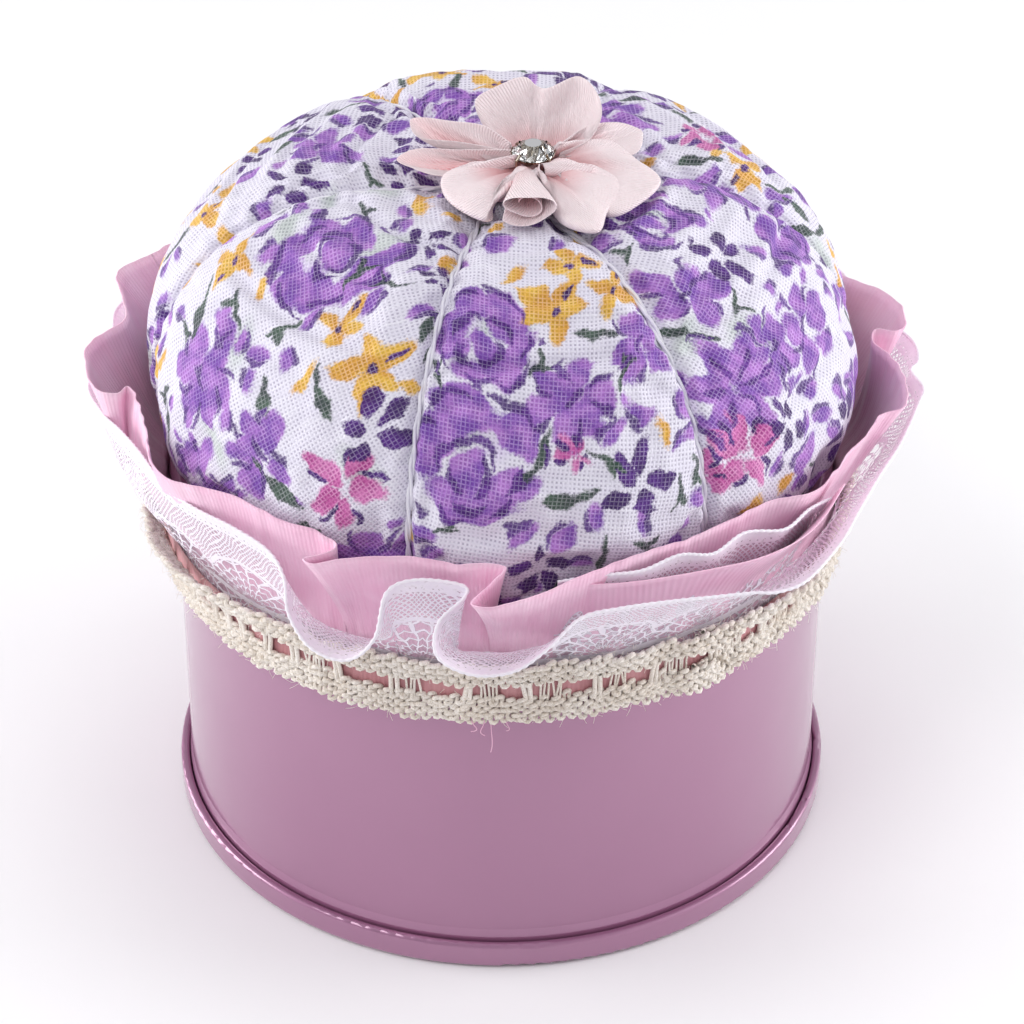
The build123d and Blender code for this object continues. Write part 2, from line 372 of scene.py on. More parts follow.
def skin_line():
    """Radius, height and distance from the pole along the lobes' outline, from top to underside."""
    arc = (CROWN_RADIUS ** 2 + DIMPLE_DEPTH ** 2) / (2 * DIMPLE_DEPTH)
    radius = np.linspace(POLE, CROWN_RADIUS, 24)
    points = [np.stack([radius, CROWN_HEIGHT - arc
                        + np.sqrt(arc ** 2 - (CROWN_RADIUS - radius) ** 2)], 1)]
    shoulder = np.radians(np.linspace(90, 0, 60))[1:]
    reach = BELLY_RADIUS - CROWN_RADIUS
    points.append(np.stack([CROWN_RADIUS + reach * np.cos(shoulder),
                            BELLY_HEIGHT + reach * np.sin(shoulder)], 1))
    end = math.asin((BELLY_HEIGHT - FOOT_HEIGHT - 0.2) / FOOT_ARC)
    belly = -np.linspace(0, end, 24)[1:]
    points.append(np.stack([BELLY_RADIUS - FOOT_ARC + FOOT_ARC * np.cos(belly),
                            BELLY_HEIGHT + FOOT_ARC * np.sin(belly)], 1))
    under = np.linspace(points[-1][-1][0], 6.2, 12)[1:]
    points.append(np.stack([under, np.full(11, points[-1][-1][1])], 1))
    line = np.concatenate(points)
    return line[:, 0], line[:, 1], walked(line) + POLE


def cushion_grid():
    """Start shape of the cover: points (row, column), and each row's distance from the pole."""
    radius, height, distance = skin_line()
    foot = distance[-1] - 32
    rows = np.concatenate([np.linspace(distance[0], 10, 5)[:-1], np.linspace(10, 60, 33)[:-1],
                           np.linspace(60, foot, 6)[:-1], np.linspace(foot, distance[-1], 5)])
    r, z = np.interp(rows, distance, radius), np.interp(rows, distance, height)
    dr, dz = np.gradient(r, rows), np.gradient(z, rows)
    normal = np.stack([-dz, dr], 1) / np.hypot(dr, dz)[:, None]
    ends = (*SEAMS, SEAMS[0] + 360)
    azimuth = np.concatenate([np.linspace(ends[k], ends[k + 1], COLUMNS, endpoint=False)
                              for k in range(LOBES)])
    phase = np.tile(np.linspace(0, 1, COLUMNS, endpoint=False), LOBES)
    fullness = np.sqrt(1 - np.abs(2 * phase - 1) ** 2.6)
    depth = GROOVE * (0.35 + 0.65 * smoothstep(rows, 3, 14)) * (1 - 0.5 * smoothstep(rows, 66, 76))
    sink = depth[:, None] * (1 - fullness)
    out = r[:, None] - sink * normal[:, :1]
    up = z[:, None] - sink * normal[:, 1:]
    return polar(azimuth[None], out, up), rows


def puff(points):
    """Cloth simulation: the cover is blown up between its seams, which the threads hold."""
    rows, columns = points.shape[:2]
    piece = new_mesh("cover_cloth", points, grid_faces(rows, columns, True)[:, ::-1],
                     "print_cotton", None)
    held = [row * columns + k * COLUMNS for row in range(rows) for k in range(LOBES)]
    held += list(range(2 * columns)) + list(range((rows - 6) * columns, rows * columns))
    group = piece.vertex_groups.new(name="held")
    group.add(sorted(set(held)), 1.0, "REPLACE")
    cloth = piece.modifiers.new("cloth", "CLOTH")
    cloth.settings.quality = 6
    cloth.settings.mass = 0.15
    cloth.settings.tension_stiffness = 25
    cloth.settings.compression_stiffness = 18
    cloth.settings.shear_stiffness = 8
    cloth.settings.bending_stiffness = 0.4
    cloth.settings.shrink_min = -0.035
    cloth.settings.use_pressure = True
    cloth.settings.uniform_pressure_force = 4
    cloth.settings.vertex_group_mass = "held"
    cloth.settings.effector_weights.gravity = 0
    cloth.collision_settings.use_collision = False
    scene = bpy.context.scene
    for number in range(1, 21):
        scene.frame_set(number)
    depsgraph = bpy.context.evaluated_depsgraph_get()
    made = piece.evaluated_get(depsgraph).to_mesh()
    moved = np.zeros(rows * columns * 3, np.float32)
    made.vertices.foreach_get("co", moved)
    scene.frame_set(1)
    bpy.data.objects.remove(piece)
    change = moved.reshape(points.shape) / MM - points
    size = np.linalg.norm(change, axis=-1, keepdims=True)
    limit = 1.4
    return points + change * limit * np.tanh(size / limit) / np.maximum(size, 1e-9)


def surface_normals(points):
    along = np.roll(points, -1, 1) - np.roll(points, 1, 1)
    down = np.gradient(points, axis=0)
    normal = np.cross(down, along)
    return normal / (np.linalg.norm(normal, axis=-1, keepdims=True) + 1e-12)


def pucker(points, rows):
    """Small gathers across the seams and shallow dents, moved along the cloth's normal."""
    phase = np.tile(np.linspace(0, 1, COLUMNS * REFINE, endpoint=False), LOBES)
    lobe = np.repeat(np.arange(LOBES), COLUMNS * REFINE)
    radius = np.hypot(points[..., 0], points[..., 1])
    span = np.radians(np.diff((*SEAMS, SEAMS[0] + 360)))[lobe]
    edge = np.minimum(phase, 1 - phase)[None] * span[None] * radius
    seam = np.where(phase < 0.5, lobe, (lobe + 1) % LOBES)
    shift = smooth_noise((len(rows), LOBES * 2), (22, LOBES * 2), 5)
    side = seam * 2 + (phase < 0.5)
    ripple = np.sin(rows[:, None] * 2.1 + 3.0 * shift[:, side])
    near = np.exp(-(edge / 2.6) ** 1.5) * smoothstep(edge, 0.0, 0.9)
    strength = 0.24 * (0.6 + 0.4 * shift[:, side]) * smoothstep(rows, 5, 14)[:, None]
    dents = 0.22 * smooth_noise(points.shape[:2], (14, 42), 8)
    dents = dents + 0.10 * smooth_noise(points.shape[:2], (40, 120), 9)
    move = ripple * near * strength + dents * smoothstep(edge, 0.3, 3.0)
    return points + surface_normals(points) * move[..., None]


def flat_cloth(points, rows):
    """Where each point lies on the flat cloth, in mm from its middle."""
    per = COLUMNS * REFINE
    step = np.linalg.norm(np.roll(points, -1, 1) - points, axis=-1)
    flat = np.zeros(points.shape[:2] + (2,))
    ends = (*SEAMS, SEAMS[0] + 360)
    for lobe in range(LOBES):
        own = slice(lobe * per, (lobe + 1) * per)
        walked = np.cumsum(step[:, own], 1) - step[:, own]
        across = walked - walked[:, per // 2:per // 2 + 1]
        middle = math.radians((ends[lobe] + ends[lobe + 1]) / 2)
        flat[:, own, 0] = rows[:, None] * math.sin(middle) + across * math.cos(middle)
        flat[:, own, 1] = -rows[:, None] * math.cos(middle) + across * math.sin(middle)
    return flat.reshape(-1, 2)

# ---------------------------------------------------------------- printed pattern

class Print:
    """Layers of ink. Each holds how far inside an inked shape a point of the cloth is, in mm."""

    FINEST = 0.78         # narrowest brush stroke
    NAMES = ("wash", "tint", "lilac", "pink", "yellow", "violet", "green", "dark")

    def __init__(self, cloth):
        self.cloth = cloth
        self.layer = {name: np.full(len(cloth), -2.0) for name in self.NAMES}

    def near(self, x, y, reach):
        return np.nonzero((np.abs(self.cloth[:, 0] - x) < reach)
                          & (np.abs(self.cloth[:, 1] - y) < reach))[0]

    def add(self, name, index, inside):
        self.layer[name][index] = np.maximum(self.layer[name][index], inside)

    def blot(self, name, x, y, length, width, turn=0.0, point=2.0):
        """An oval, length by width, turned anticlockwise by turn degrees; point < 2 sharpens it."""
        index = self.near(x, y, 0.5 * max(length, width) + 2)
        p = self.cloth[index] - (x, y)
        c, s = math.cos(math.radians(turn)), math.sin(math.radians(turn))
        u, v = (p[:, 0] * c + p[:, 1] * s) / (length / 2), (p[:, 1] * c - p[:, 0] * s) / (width / 2)
        reach = (np.abs(u) ** point + np.abs(v) ** point) ** (1 / point)
        self.add(name, index, (1 - reach) * min(length, width) / 2)

    def stroke(self, name, x, y, length, width, turn, bend):
        """A brush stroke: an arc bent by bend degrees, thick in the middle and thin at its ends."""
        width = max(width, self.FINEST)
        index = self.near(x, y, length / 2 + width + 2)
        p = self.cloth[index] - (x, y)
        c, s = math.cos(math.radians(turn)), math.sin(math.radians(turn))
        u, v = p[:, 0] * c + p[:, 1] * s, p[:, 1] * c - p[:, 0] * s
        t = 2 * u / length
        v = v - math.radians(bend) * length / 8 * (1 - t * t)
        self.add(name, index, np.minimum(width / 2 * np.sqrt(np.clip(1 - t * t, 0, 1)) - np.abs(v),
                                         (1 - np.abs(t)) * length / 2))


def ring_of(count, turn):
    return [turn + 360 * k / count for k in range(count)]


def offset(x, y, reach, angle):
    return x + reach * math.cos(math.radians(angle)), y + reach * math.sin(math.radians(angle))


def hand(x, y):
    """Random values that make each flower a little different, the same on every run."""
    return np.random.default_rng(int(abs(x * 71 + y * 133) * 10) + 3)


def rose(ink, x, y, size, turn):
    """Full bloom: overlapping outer petals, dark curled strokes, and a pale heart to one side."""
    rng = hand(x, y)
    for angle in ring_of(7, turn):
        angle += rng.normal(0, 9)
        reach = size * rng.uniform(0.26, 0.38)
        px, py = offset(x, y, reach, angle)
        ink.blot("lilac", px, py, size * rng.uniform(0.34, 0.52), size * rng.uniform(0.22, 0.33),
                 angle + rng.uniform(40, 90))
        px, py = offset(x, y, reach * rng.uniform(1.0, 1.3), angle + 14)
        ink.stroke("dark", px, py, size * rng.uniform(0.22, 0.42), size * 0.062, angle + 98, -110)
    hx, hy = offset(x, y, size * 0.08, turn + 200)
    ink.blot("lilac", hx, hy, size * 0.34, size * 0.24, turn + 30)
    for angle in ring_of(5, turn + 30):
        px, py = offset(hx, hy, size * rng.uniform(0.05, 0.20), angle)
        ink.stroke("dark", px, py, size * rng.uniform(0.20, 0.34), size * 0.070, angle + 85, -150)
        px, py = offset(x, y, size * 0.5, angle + 20)
        ink.stroke("dark", px, py, size * rng.uniform(0.08, 0.18), size * 0.04, angle + 100, -60)
    ink.blot("tint", *offset(x, y, size * 0.17, turn + 20), size * 0.26, size * 0.16, turn + 100)


def bloom(ink, x, y, size, turn):
    """Loose open flower: broad lilac petals of different sizes, with broken dark edges."""
    rng = hand(x, y)
    for angle in ring_of(5 + (size > 10), turn):
        angle += rng.normal(0, 10)
        px, py = offset(x, y, size * rng.uniform(0.22, 0.32), angle)
        ink.blot("lilac", px, py, size * rng.uniform(0.38, 0.56), size * rng.uniform(0.24, 0.36),
                 angle + rng.normal(0, 14))
        px, py = offset(x, y, size * rng.uniform(0.28, 0.44), angle + rng.uniform(16, 30))
        ink.stroke("dark", px, py, size * rng.uniform(0.2, 0.36), size * 0.055, angle + 8, 70)
    ink.stroke("dark", x, y, size * 0.28, size * 0.09, turn + 40, 90)
    ink.blot("lilac", *offset(x, y, size * 0.62, turn + 33), size * 0.20, size * 0.13, turn)
    ink.blot("lilac", *offset(x, y, size * 0.66, turn + 205), size * 0.18, size * 0.11, turn + 60)


def pansy(ink, x, y, size, turn):
    """Two upper and two side petals over one broad lower petal, veined from the middle."""
    for angle, length in ((90, 0.5), (38, 0.46), (142, 0.46), (-28, 0.48), (208, 0.48), (-90, 0.6)):
        px, py = offset(x, y, size * 0.27, angle + turn)
        ink.blot("lilac", px, py, size * length, size * 0.30, angle + turn)
        px, py = offset(x, y, size * 0.22, angle + turn + 7)
        ink.stroke("dark", px, py, size * 0.30, size * 0.05, angle + turn, 30)
        px, py = offset(x, y, size * 0.5, angle + turn)
        ink.stroke("dark", px, py, size * 0.22, size * 0.045, angle + turn + 90, -70)


def star(ink, x, y, size, turn):
    """Yellow flower of four or five petals round a dark middle."""
    rng = hand(x, y)
    for angle in ring_of(4 if size < 8 else 5, turn):
        angle += rng.normal(0, 8)
        px, py = offset(x, y, size * 0.24, angle)
        ink.blot("yellow", px, py, size * rng.uniform(0.46, 0.58), size * rng.uniform(0.26, 0.32),
                 angle, 1.45)
    ink.blot("violet", x, y, size * 0.15, size * 0.12, turn)
    ink.stroke("violet", *offset(x, y, size * 0.3, turn), size * 0.2, size * 0.05, turn, 20)


def pinwheel(ink, x, y, size, turn):
    """Dark violet flower of five small separate petals."""
    rng = hand(x, y)
    for angle in ring_of(5, turn):
        angle += rng.normal(0, 7)
        px, py = offset(x, y, size * rng.uniform(0.29, 0.36), angle)
        ink.blot("violet", px, py, size * rng.uniform(0.36, 0.46), size * rng.uniform(0.24, 0.32),
                 angle, 1.5)


def pink_flower(ink, x, y, size, turn):
    """Magenta petals with dark outlines on one side."""
    rng = hand(x, y)
    for angle in ring_of(5, turn):
        angle += rng.normal(0, 10)
        px, py = offset(x, y, size * 0.28, angle)
        ink.blot("pink", px, py, size * rng.uniform(0.38, 0.50), size * rng.uniform(0.24, 0.34),
                 angle, 1.6)
        px, py = offset(x, y, size * 0.34, angle + 22)
        ink.stroke("violet", px, py, size * rng.uniform(0.2, 0.36), size * 0.05, angle + 5, 60)


def bud(ink, x, y, size, turn):
    ink.blot("lilac", x, y, size, size * 0.5, turn)
    ink.stroke("dark", *offset(x, y, size * 0.2, turn + 90), size * 0.9, size * 0.14, turn, 60)


def leaf(ink, x, y, size, turn):
    ink.blot("green", x, y, size * 0.95, size * 0.36, turn, 1.5)
    ink.stroke("green", *offset(x, y, size * 0.55, turn), size * 0.7, size * 0.07, turn, 20)


def petal_mark(ink, x, y, size, turn):
    ink.blot("yellow", x, y, size, size * 0.46, turn)


def stem(ink, x, y, size, turn):
    ink.stroke("green", x, y, size, 0.55, turn, 60)
    ink.stroke("green", *offset(x, y, size * 0.3, turn + 60), size * 0.6, 0.4, turn + 50, -40)


def wash(ink, x, y, size, turn):
    ink.blot("wash", x, y, size, size * 0.5, turn)


# Where the flowers the photograph shows lie on the flat cloth, in mm: shape, x, y, size, turn.
MOTIFS = (
    (rose, -19, -17, 15, 200), (rose, -2, -45, 16, 40), (rose, 17, -12, 9, 0),
    (pansy, 31, -30, 13, 10), (bloom, 22, -22, 10, 30), (bloom, 38, -17, 10, 70),
    (bloom, 8, -37, 11, 15), (rose, -2, -31, 13, 100), (bloom, 15.2, -31, 9, 50),
    (bloom, -37, -25, 11, 20), (bloom, -32, -36, 10, 75), (bloom, -21, 7, 9, 0),
    (rose, -7, 17, 10, 60), (bloom, 25, -3, 8, 45), (pinwheel, -30, 12, 6, 0),
    (bud, -31, -3, 4.5, 60), (bud, -31, 6.5, 3.6, 20), (bud, -49, -0.5, 4, 100),
    (bud, 12.8, -40, 3.4, 60), (bud, 12, -49, 3.6, 110), (bud, 8.7, -51.5, 4.4, 80),
    (bud, 44, -30, 5, 100), (bud, 44, -24.6, 4, 60), (bud, 27.5, 19, 4.6, 0),
    (bud, 33.4, 11.4, 4, 50), (bud, 21, -37.4, 3.6, 120), (bud, 21.2, -10, 3, 30),
    (bud, 45.4, -9, 4.6, 90), (bud, -17.3, 4, 3.4, 130), (bud, -32.6, -21.3, 3.4, 95),
    (bud, -30.3, -28, 3.2, 70),
    (star, -17, -33.8, 9.5, 20), (star, -18.8, -26, 7, 45), (star, 5.8, -26, 8.5, 60),
    (star, 7.5, -20.5, 6.5, 10), (petal_mark, -23.6, -31, 3.4, 30),
    (petal_mark, 1.6, -21.6, 3.6, 50), (petal_mark, -8.5, -7.7, 3.6, 80),
    (star, -37.2, 2.9, 6.6, 0), (petal_mark, -37.7, -3.4, 4, 60),
    (petal_mark, -41.4, -11.7, 4, 30), (star, -1, 21.5, 6, 45),
    (pinwheel, -18.9, -40.5, 8.5, 10), (pinwheel, -8.7, -16.5, 6, 40),
    (pinwheel, 16, -45.2, 8.5, 0), (pinwheel, 7, -56.8, 7, 20),
    (pinwheel, -8.6, -23.9, 4.5, 60), (bud, -0.4, -16.9, 4.4, 20),
    (pink_flower, -24.8, -44.3, 10, 30), (pink_flower, 35.8, -35.5, 10, 60),
    (pink_flower, 34.5, -41, 7, 10), (pink_flower, 8.6, -42.5, 4, 45),
    (leaf, -22.5, -35, 5, 80), (leaf, -37.5, -18.8, 5.4, 60), (leaf, 23, -27.6, 5, 30),
    (leaf, -31.8, -41, 6, 110), (leaf, 23, 3.6, 5, 20), (stem, 5, -34, 4.4, 40),
    (stem, -6, -36, 4.4, 100), (stem, 14.2, -34.5, 4, 60), (leaf, 7.6, -47.7, 4.6, 20),
    (stem, -12.5, -22.6, 5, 120), (stem, -30.7, -20.3, 5, 80), (stem, -16, -20.8, 5, 30),
    (wash, -25, -12, 6, 60), (wash, -13.6, -15.5, 6, 20), (wash, -4, -41.6, 6, 0),
    (wash, 30.5, -22.3, 7, 45), (wash, 24, -28, 6, 90), (wash, -31, -24.3, 5, 60),
    (wash, 0, -28.9, 6, 20), (wash, -22.5, -43.8, 6, 100), (wash, 15.5, -10.3, 6, 0),
)
FILL = ((rose, 13), (bloom, 10), (star, 8), (pinwheel, 7), (pink_flower, 8), (leaf, 4), (pansy, 12),
        (bloom, 9), (bud, 3.6), (stem, 4), (bud, 2.6), (petal_mark, 3), (wash, 6), (bud, 3))


def hand_drawn(cloth):
    """The cloth's places shifted by up to half a millimetre, so that no shape is quite regular."""
    rng = np.random.default_rng(9)
    out = cloth.copy()
    tremors = ((9, 0.26), (7, 0.24), (5, 0.2), (3.6, 0.16), (2.6, 0.11), (1.7, 0.08))
    for wavelength, reach in tremors:
        for axis in (0, 1):
            turn, start = rng.uniform(0, 2 * np.pi, 2)
            wave = cloth @ (math.cos(turn), math.sin(turn)) * 2 * np.pi / wavelength
            out[:, axis] += reach * np.sin(wave + start)
    return out


def print_pattern(cloth):
    """The placed flowers, then others scattered over the cloth that is left."""
    cloth = hand_drawn(cloth)
    ink = Print(cloth)
    taken = [(x, y, size) for shape, x, y, size, turn in MOTIFS if shape is not wash]
    for shape, x, y, size, turn in MOTIFS:
        shape(ink, x, y, size, turn)
    rng = np.random.default_rng(21)
    for trial in range(7000):
        shape, size = FILL[trial % len(FILL) if trial > 700 else trial % 4]
        x, y = rng.uniform(-74, 74, 2)
        turn, scale = rng.uniform(0, 360), rng.uniform(0.85, 1.15)
        gap = 0.36 if trial > 2600 else 0.44
        clear = all(math.hypot(x - a, y - b) > gap * (size * scale + c) for a, b, c in taken)
        if clear and math.hypot(x, y) < 76:
            shape(ink, x, y, size * scale, turn)
            taken.append((x, y, size * scale))
    return ink


WEAVE = 0.47          # distance between two threads of the cover


def cotton():
    """Plain-woven white cotton, printed in eight inks, with painted highlights on the thread crests
    and painted shade in the holes between threads.
    """
    m = Graph("print_cotton", Roughness=0.85, Sheen_Weight=0.07, Sheen_Roughness=0.45)
    where = m.read("flat", vector=True)
    x, y, _ = m.split(where)
    warp, weft = m.wave(x, WEAVE), m.wave(y, WEAVE)
    over = m.times(m.math("SINE", m.times(x, math.pi / WEAVE)),
                  m.math("SINE", m.times(y, math.pi / WEAVE)))
    top = m.times(warp, m.math("MULTIPLY_ADD", over, 0.30, 0.70))
    under = m.times(weft, m.math("MULTIPLY_ADD", over, -0.30, 0.70))
    cloth_height = m.math("MAXIMUM", top, under)
    thick = m.noise(where, 0.9, 2.0)
    # Painted shade: darker colour where no thread lies, in the holes between threads.
    hole_shade = m.times(m.step(m.math("MAXIMUM", warp, weft), 0.22, 0.66, 1.0, 0.0),
                  m.step(thick, 0.34, 0.62, 0.35, 1.0))
    edge = m.noise(where, 2.6, 3.0, 0.6)
    soft = m.noise(where, 0.35, 2.0)
    speck = m.noise(where, 5.0, 1.0)
    slub = m.noise(m.join(m.times(x, 0.25), m.times(y, 2.4)), 1.0, 2.0)
    colour = m.mix(soft, srgb(234, 231, 241), srgb(220, 215, 232))
    colour = m.mix(m.step(slub, 0.55, 0.72, 0.0, 0.5), colour, srgb(244, 242, 250))
    inks = (("wash", srgb(190, 205, 190), srgb(150, 175, 150), 0.9, 0.55),
            ("tint", srgb(222, 205, 235), srgb(205, 180, 228), 0.9, 0.6),
            ("lilac", srgb(184, 122, 210), srgb(112, 50, 166), 0.26, 0.96),
            ("pink", srgb(216, 120, 184), srgb(186, 66, 148), 0.24, 0.96),
            ("yellow", srgb(238, 190, 58), srgb(214, 152, 24), 0.22, 0.96),
            ("violet", srgb(84, 26, 132), srgb(54, 10, 92), 0.16, 0.98),
            ("green", srgb(52, 84, 62), srgb(28, 50, 46), 0.18, 0.95),
            ("dark", srgb(100, 40, 150), srgb(62, 12, 106), 0.18, 0.92))
    for name, light, deep, spread, share in inks:
        inside = m.plus(m.read(name), m.math("MULTIPLY_ADD", edge, 0.9, -0.45))
        cover = m.times(m.step(inside, -spread, spread), share)
        tone = m.step(m.plus(soft, m.times(speck, 0.25)), 0.42, 0.80)
        colour = m.mix(cover, colour, m.mix(tone, light, deep))
    # Painted highlight: near-white colour on the crests of the threads.
    crest_highlight = m.times(m.step(m.math("MAXIMUM", warp, weft), 0.80, 1.0),
                   m.step(thick, 0.30, 0.66, 0.06, 0.26))
    colour = m.mix(crest_highlight, colour, srgb(240, 234, 246))
    # Painted shade in the holes, multiplied over the colour.
    colour = m.mix(m.times(hole_shade, 0.62), colour, srgb(158, 148, 170), "MULTIPLY")
    m.colour(colour)
    m.bump(cloth_height, 0.10, 0.75)
    return m.material


def make_cover():
    """The blown-up printed cover; returns its points and the rows' distances from the pole."""
    points, rows = cushion_grid()
    points = puff(points)
    points = cubic(points, REFINE, False)
    points = cubic(points.transpose(1, 0, 2), REFINE, True).transpose(1, 0, 2)
    rows = cubic(rows, REFINE, False)
    points = pucker(points, rows)
    faces = grid_faces(*points.shape[:2], True)[:, ::-1]
    piece = new_mesh("printed_cover", points, faces, "print_cotton", cotton())
    cloth = flat_cloth(points, rows)
    attribute(piece, "flat", np.column_stack([cloth, np.zeros(len(cloth))]))
    ink = print_pattern(cloth)
    for name in Print.NAMES:
        attribute(piece, name, ink.layer[name])
    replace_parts(piece, "cushion_cover", "cushion_stuffing", "gathering_thread")
    return points, rows


cover_points, cover_rows = make_cover()

# ---------------------------------------------------------------- threads

def thread_material(name, light, deep, gloss):
    m = Graph(name, Roughness=gloss, Sheen_Weight=0.3, Anisotropic=0.5)
    fibre = m.read("fibre", vector=True)
    x, y, _ = m.split(fibre)
    strands = m.noise(m.join(m.times(x, 5.0), m.times(y, 0.5)), 2.0, 3.0)
    m.colour(m.mix(m.step(strands, 0.35, 0.65), deep, light))
    m.bump(strands, 0.03, 0.6)
    return m.material


silk = thread_material("white_silk", srgb(252, 251, 255), srgb(226, 222, 236), 0.35)


def even_path(path, step):
    """The path in mm resampled at even distances."""
    length = walked(path)
    at = np.linspace(0, length[-1], int(length[-1] / step) + 1)
    return np.stack([np.interp(at, length, path[:, k]) for k in range(3)], 1)


def twisted(path, normal, offset_radius, pitch):
    """Paths of the two plies of a twisted thread along a path with surface normals."""
    tangent = np.gradient(path, axis=0)
    tangent /= np.linalg.norm(tangent, axis=1, keepdims=True)
    side = np.cross(tangent, normal)
    side /= np.linalg.norm(side, axis=1, keepdims=True)
    up = np.cross(side, tangent)
    out = []
    for share in (0, 0.5):
        turn = (2 * np.pi * (walked(path) / pitch + share))[:, None]
        out.append(path + offset_radius * (side * np.cos(turn) + up * np.sin(turn)))
    return np.stack(out)


def thread_piece(name, paths, radius, slot, material):
    """Round threads along paths, with fibres that follow them."""
    sides = 8
    piece = new_mesh(name, *tubes(paths, radius, sides), slot, material)
    along = np.stack([walked(path) for path in paths])[..., None]
    around, along = np.broadcast_arrays(np.linspace(0, 2, sides), along)
    attribute(piece, "fibre", np.stack([around, along, 0 * along], -1).reshape(-1, 3))
    return piece


def make_threads():
    """Six two-ply threads lying in the seams, from the crown to the foot of the cushion."""
    normals = surface_normals(cover_points)
    last = int(np.argmax(cover_rows > 68))
    for k in range(LOBES):
        column = k * COLUMNS * REFINE
        seam = cover_points[9:last, column]
        normal = normals[9:last, (column - 4) % cover_points.shape[1]] + normals[9:last, column + 4]
        normal /= np.linalg.norm(normal, axis=1, keepdims=True)
        path = even_path(seam + 0.30 * normal, 0.16)
        at = np.linspace(0, 1, len(normal))
        smooth = np.stack([np.interp(np.linspace(0, 1, len(path)), at, normal[:, i])
                           for i in range(3)], 1)
        plies = twisted(path, smooth, 0.20, 7.5)
        piece = thread_piece(f"silk_thread_{k + 1}", plies, THREAD, "thread", silk)
        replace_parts(piece, f"segment_thread_{k + 1}")


def make_knot():
    """The knot at the crown: a few turns of thread wound over each other."""
    centre = (low_mm("crown_knot") + high_mm("crown_knot")) / 2
    t = np.linspace(0, 2 * np.pi, 700, endpoint=False)
    wind = 1.0 + 0.34 * np.cos(7 * t)
    path = np.stack([wind * np.cos(3 * t), wind * np.sin(3 * t), 0.55 * np.sin(7 * t)], 1) + centre
    points, faces = tubes(path[None], 0.28, 8, closed=True, outward=(0.1, 0.2, 1.0))
    piece = new_mesh("silk_knot", points, faces, "thread", silk)
    attribute(piece, "fibre", np.zeros((len(points), 3)))
    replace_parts(piece, "crown_knot")


make_threads()
make_knot()

# ---------------------------------------------------------------- ruffles

RIBBON_TOP = 59.6     # height of its upper edge
RIBBON_SHEET = 0.16   # thickness of the ribbon
# The ribbon's upper edge, seen from above: azimuth and radius, once round the cushion.
RIBBON_EDGE = (
    (-116, 46.5), (-110, 48.2), (-104, 45.7), (-98, 44.0), (-93.5, 46), (-90, 47.5), (-86.5, 47.5),
    (-80, 46.7), (-77.5, 44.2), (-79, 42.8), (-74, 42.2), (-66, 43.0), (-59, 44.7), (-54, 45),
    (-49, 43.8), (-42, 42.4), (-33.5, 42.2), (-28, 42.0), (-25, 42.2), (-24, 43.0), (-24.6, 44.5),
    (-26.6, 46.5), (-24.6, 47.0), (-21.8, 44.6), (-15.3, 42.2), (-7.7, 42.0), (-0.2, 42.2),
    (0.4, 43.0), (-1.5, 45.5), (-3.7, 48.6), (-1.6, 49.6), (1.1, 49), (4.9, 47.4), (9.8, 45.3),
    (15.2, 43.6), (20, 42.9), (32, 42.2), (40.5, 42.0), (44, 42.2), (46.3, 43.2), (48.8, 44.2),
    (53.6, 44.3), (60.6, 43.9), (70.8, 44.5), (74.3, 46.4), (76.8, 46.8), (81.8, 46.1),
    (86.3, 44.8), (89.5, 43.3), (92.3, 42.6), (94.6, 43.4), (93.9, 45.3), (96, 47),
    (100.4, 47.3), (104.8, 46.4), (108.5, 44.2), (114, 42.6), (120, 43.8), (126, 46.5),
    (131, 47), (136, 45), (141, 42.8), (147, 42.6), (152, 44), (157, 47), (162, 47.5),
    (168, 45), (174, 42.8), (180, 42.6), (186, 44.5), (191, 47.2), (196, 46.8), (202, 44),
    (208, 42.6), (214, 42.8), (220, 44.8), (226, 47.3), (231, 47), (237, 45.5))
LACE_WAVE = ((47.4, 54.8), (48.6, 54), (46.8, 55), (45.6, 56))     # at the back, which isn't seen
# The lace's free edge: azimuth, radius and height.
LACE_EDGE = (
    (-118, 46.5, 55.4), (-110, 48.4, 54.6), (-102, 46.6, 55.6), (-96, 45.8, 56), (-90, 47.6, 54.4),
    (-81, 46.0, 55.4), (-74, 44.6, 56.4), (-67, 43.8, 56.8), (-57, 43.9, 56.8), (-50, 43.6, 56.9),
    (-42, 43.2, 57.2), (-35, 43.6, 56.8), (-31, 45.0, 55.4), (-28.6, 47.2, 52.6),
    (-24.5, 48.6, 50.2), (-19.6, 48.6, 49.8), (-16.4, 47.4, 52.4), (-15.8, 44.4, 56.4),
    (-12, 43.0, 57.6), (-5.6, 42.9, 57.4), (-5.0, 43.9, 56.6), (-8.2, 46.0, 54.6),
    (-8.0, 48.4, 52.0), (-3.6, 49.4, 50.6), (1.6, 49.0, 50.8), (6, 47.6, 52.6), (10.5, 45.8, 54.8),
    (16, 45.6, 55.2), (23, 46.0, 55.0), (29, 46.9, 54.6), (34, 48.0, 54.2), (37, 49.0, 53.8),
    (41.6, 49.4, 53.8), (50, 48, 54.2), (57, 46.8, 54.8), (64.6, 46.2, 55),
    (72.7, 46.8, 55.6), (80.5, 47.8, 56.8), (84, 48.3, 57.2), (87.5, 46.9, 57.6), (91, 48.0, 57.0),
    (97, 48.4, 56.2), (104, 47.6, 55.2), (112, 46.0, 55.6),
    *((120 + 8 * k, *LACE_WAVE[k % 4]) for k in range(11)),
    (208, 45.8, 56), (216, 47.4, 54.8), (224, 48.6, 54), (232, 47.0, 55))


def closed_curve(table, samples):
    """A smooth closed curve through azimuth, radius and height rows, with evenly spaced points."""
    points = cubic(polar(*np.array(table, float).T), 24, True)
    loop = np.concatenate([points, points[:1]])
    length = walked(loop)
    at = np.linspace(0, length[-1], samples, endpoint=False)
    return np.stack([np.interp(at, length, loop[:, k]) for k in range(3)], 1)


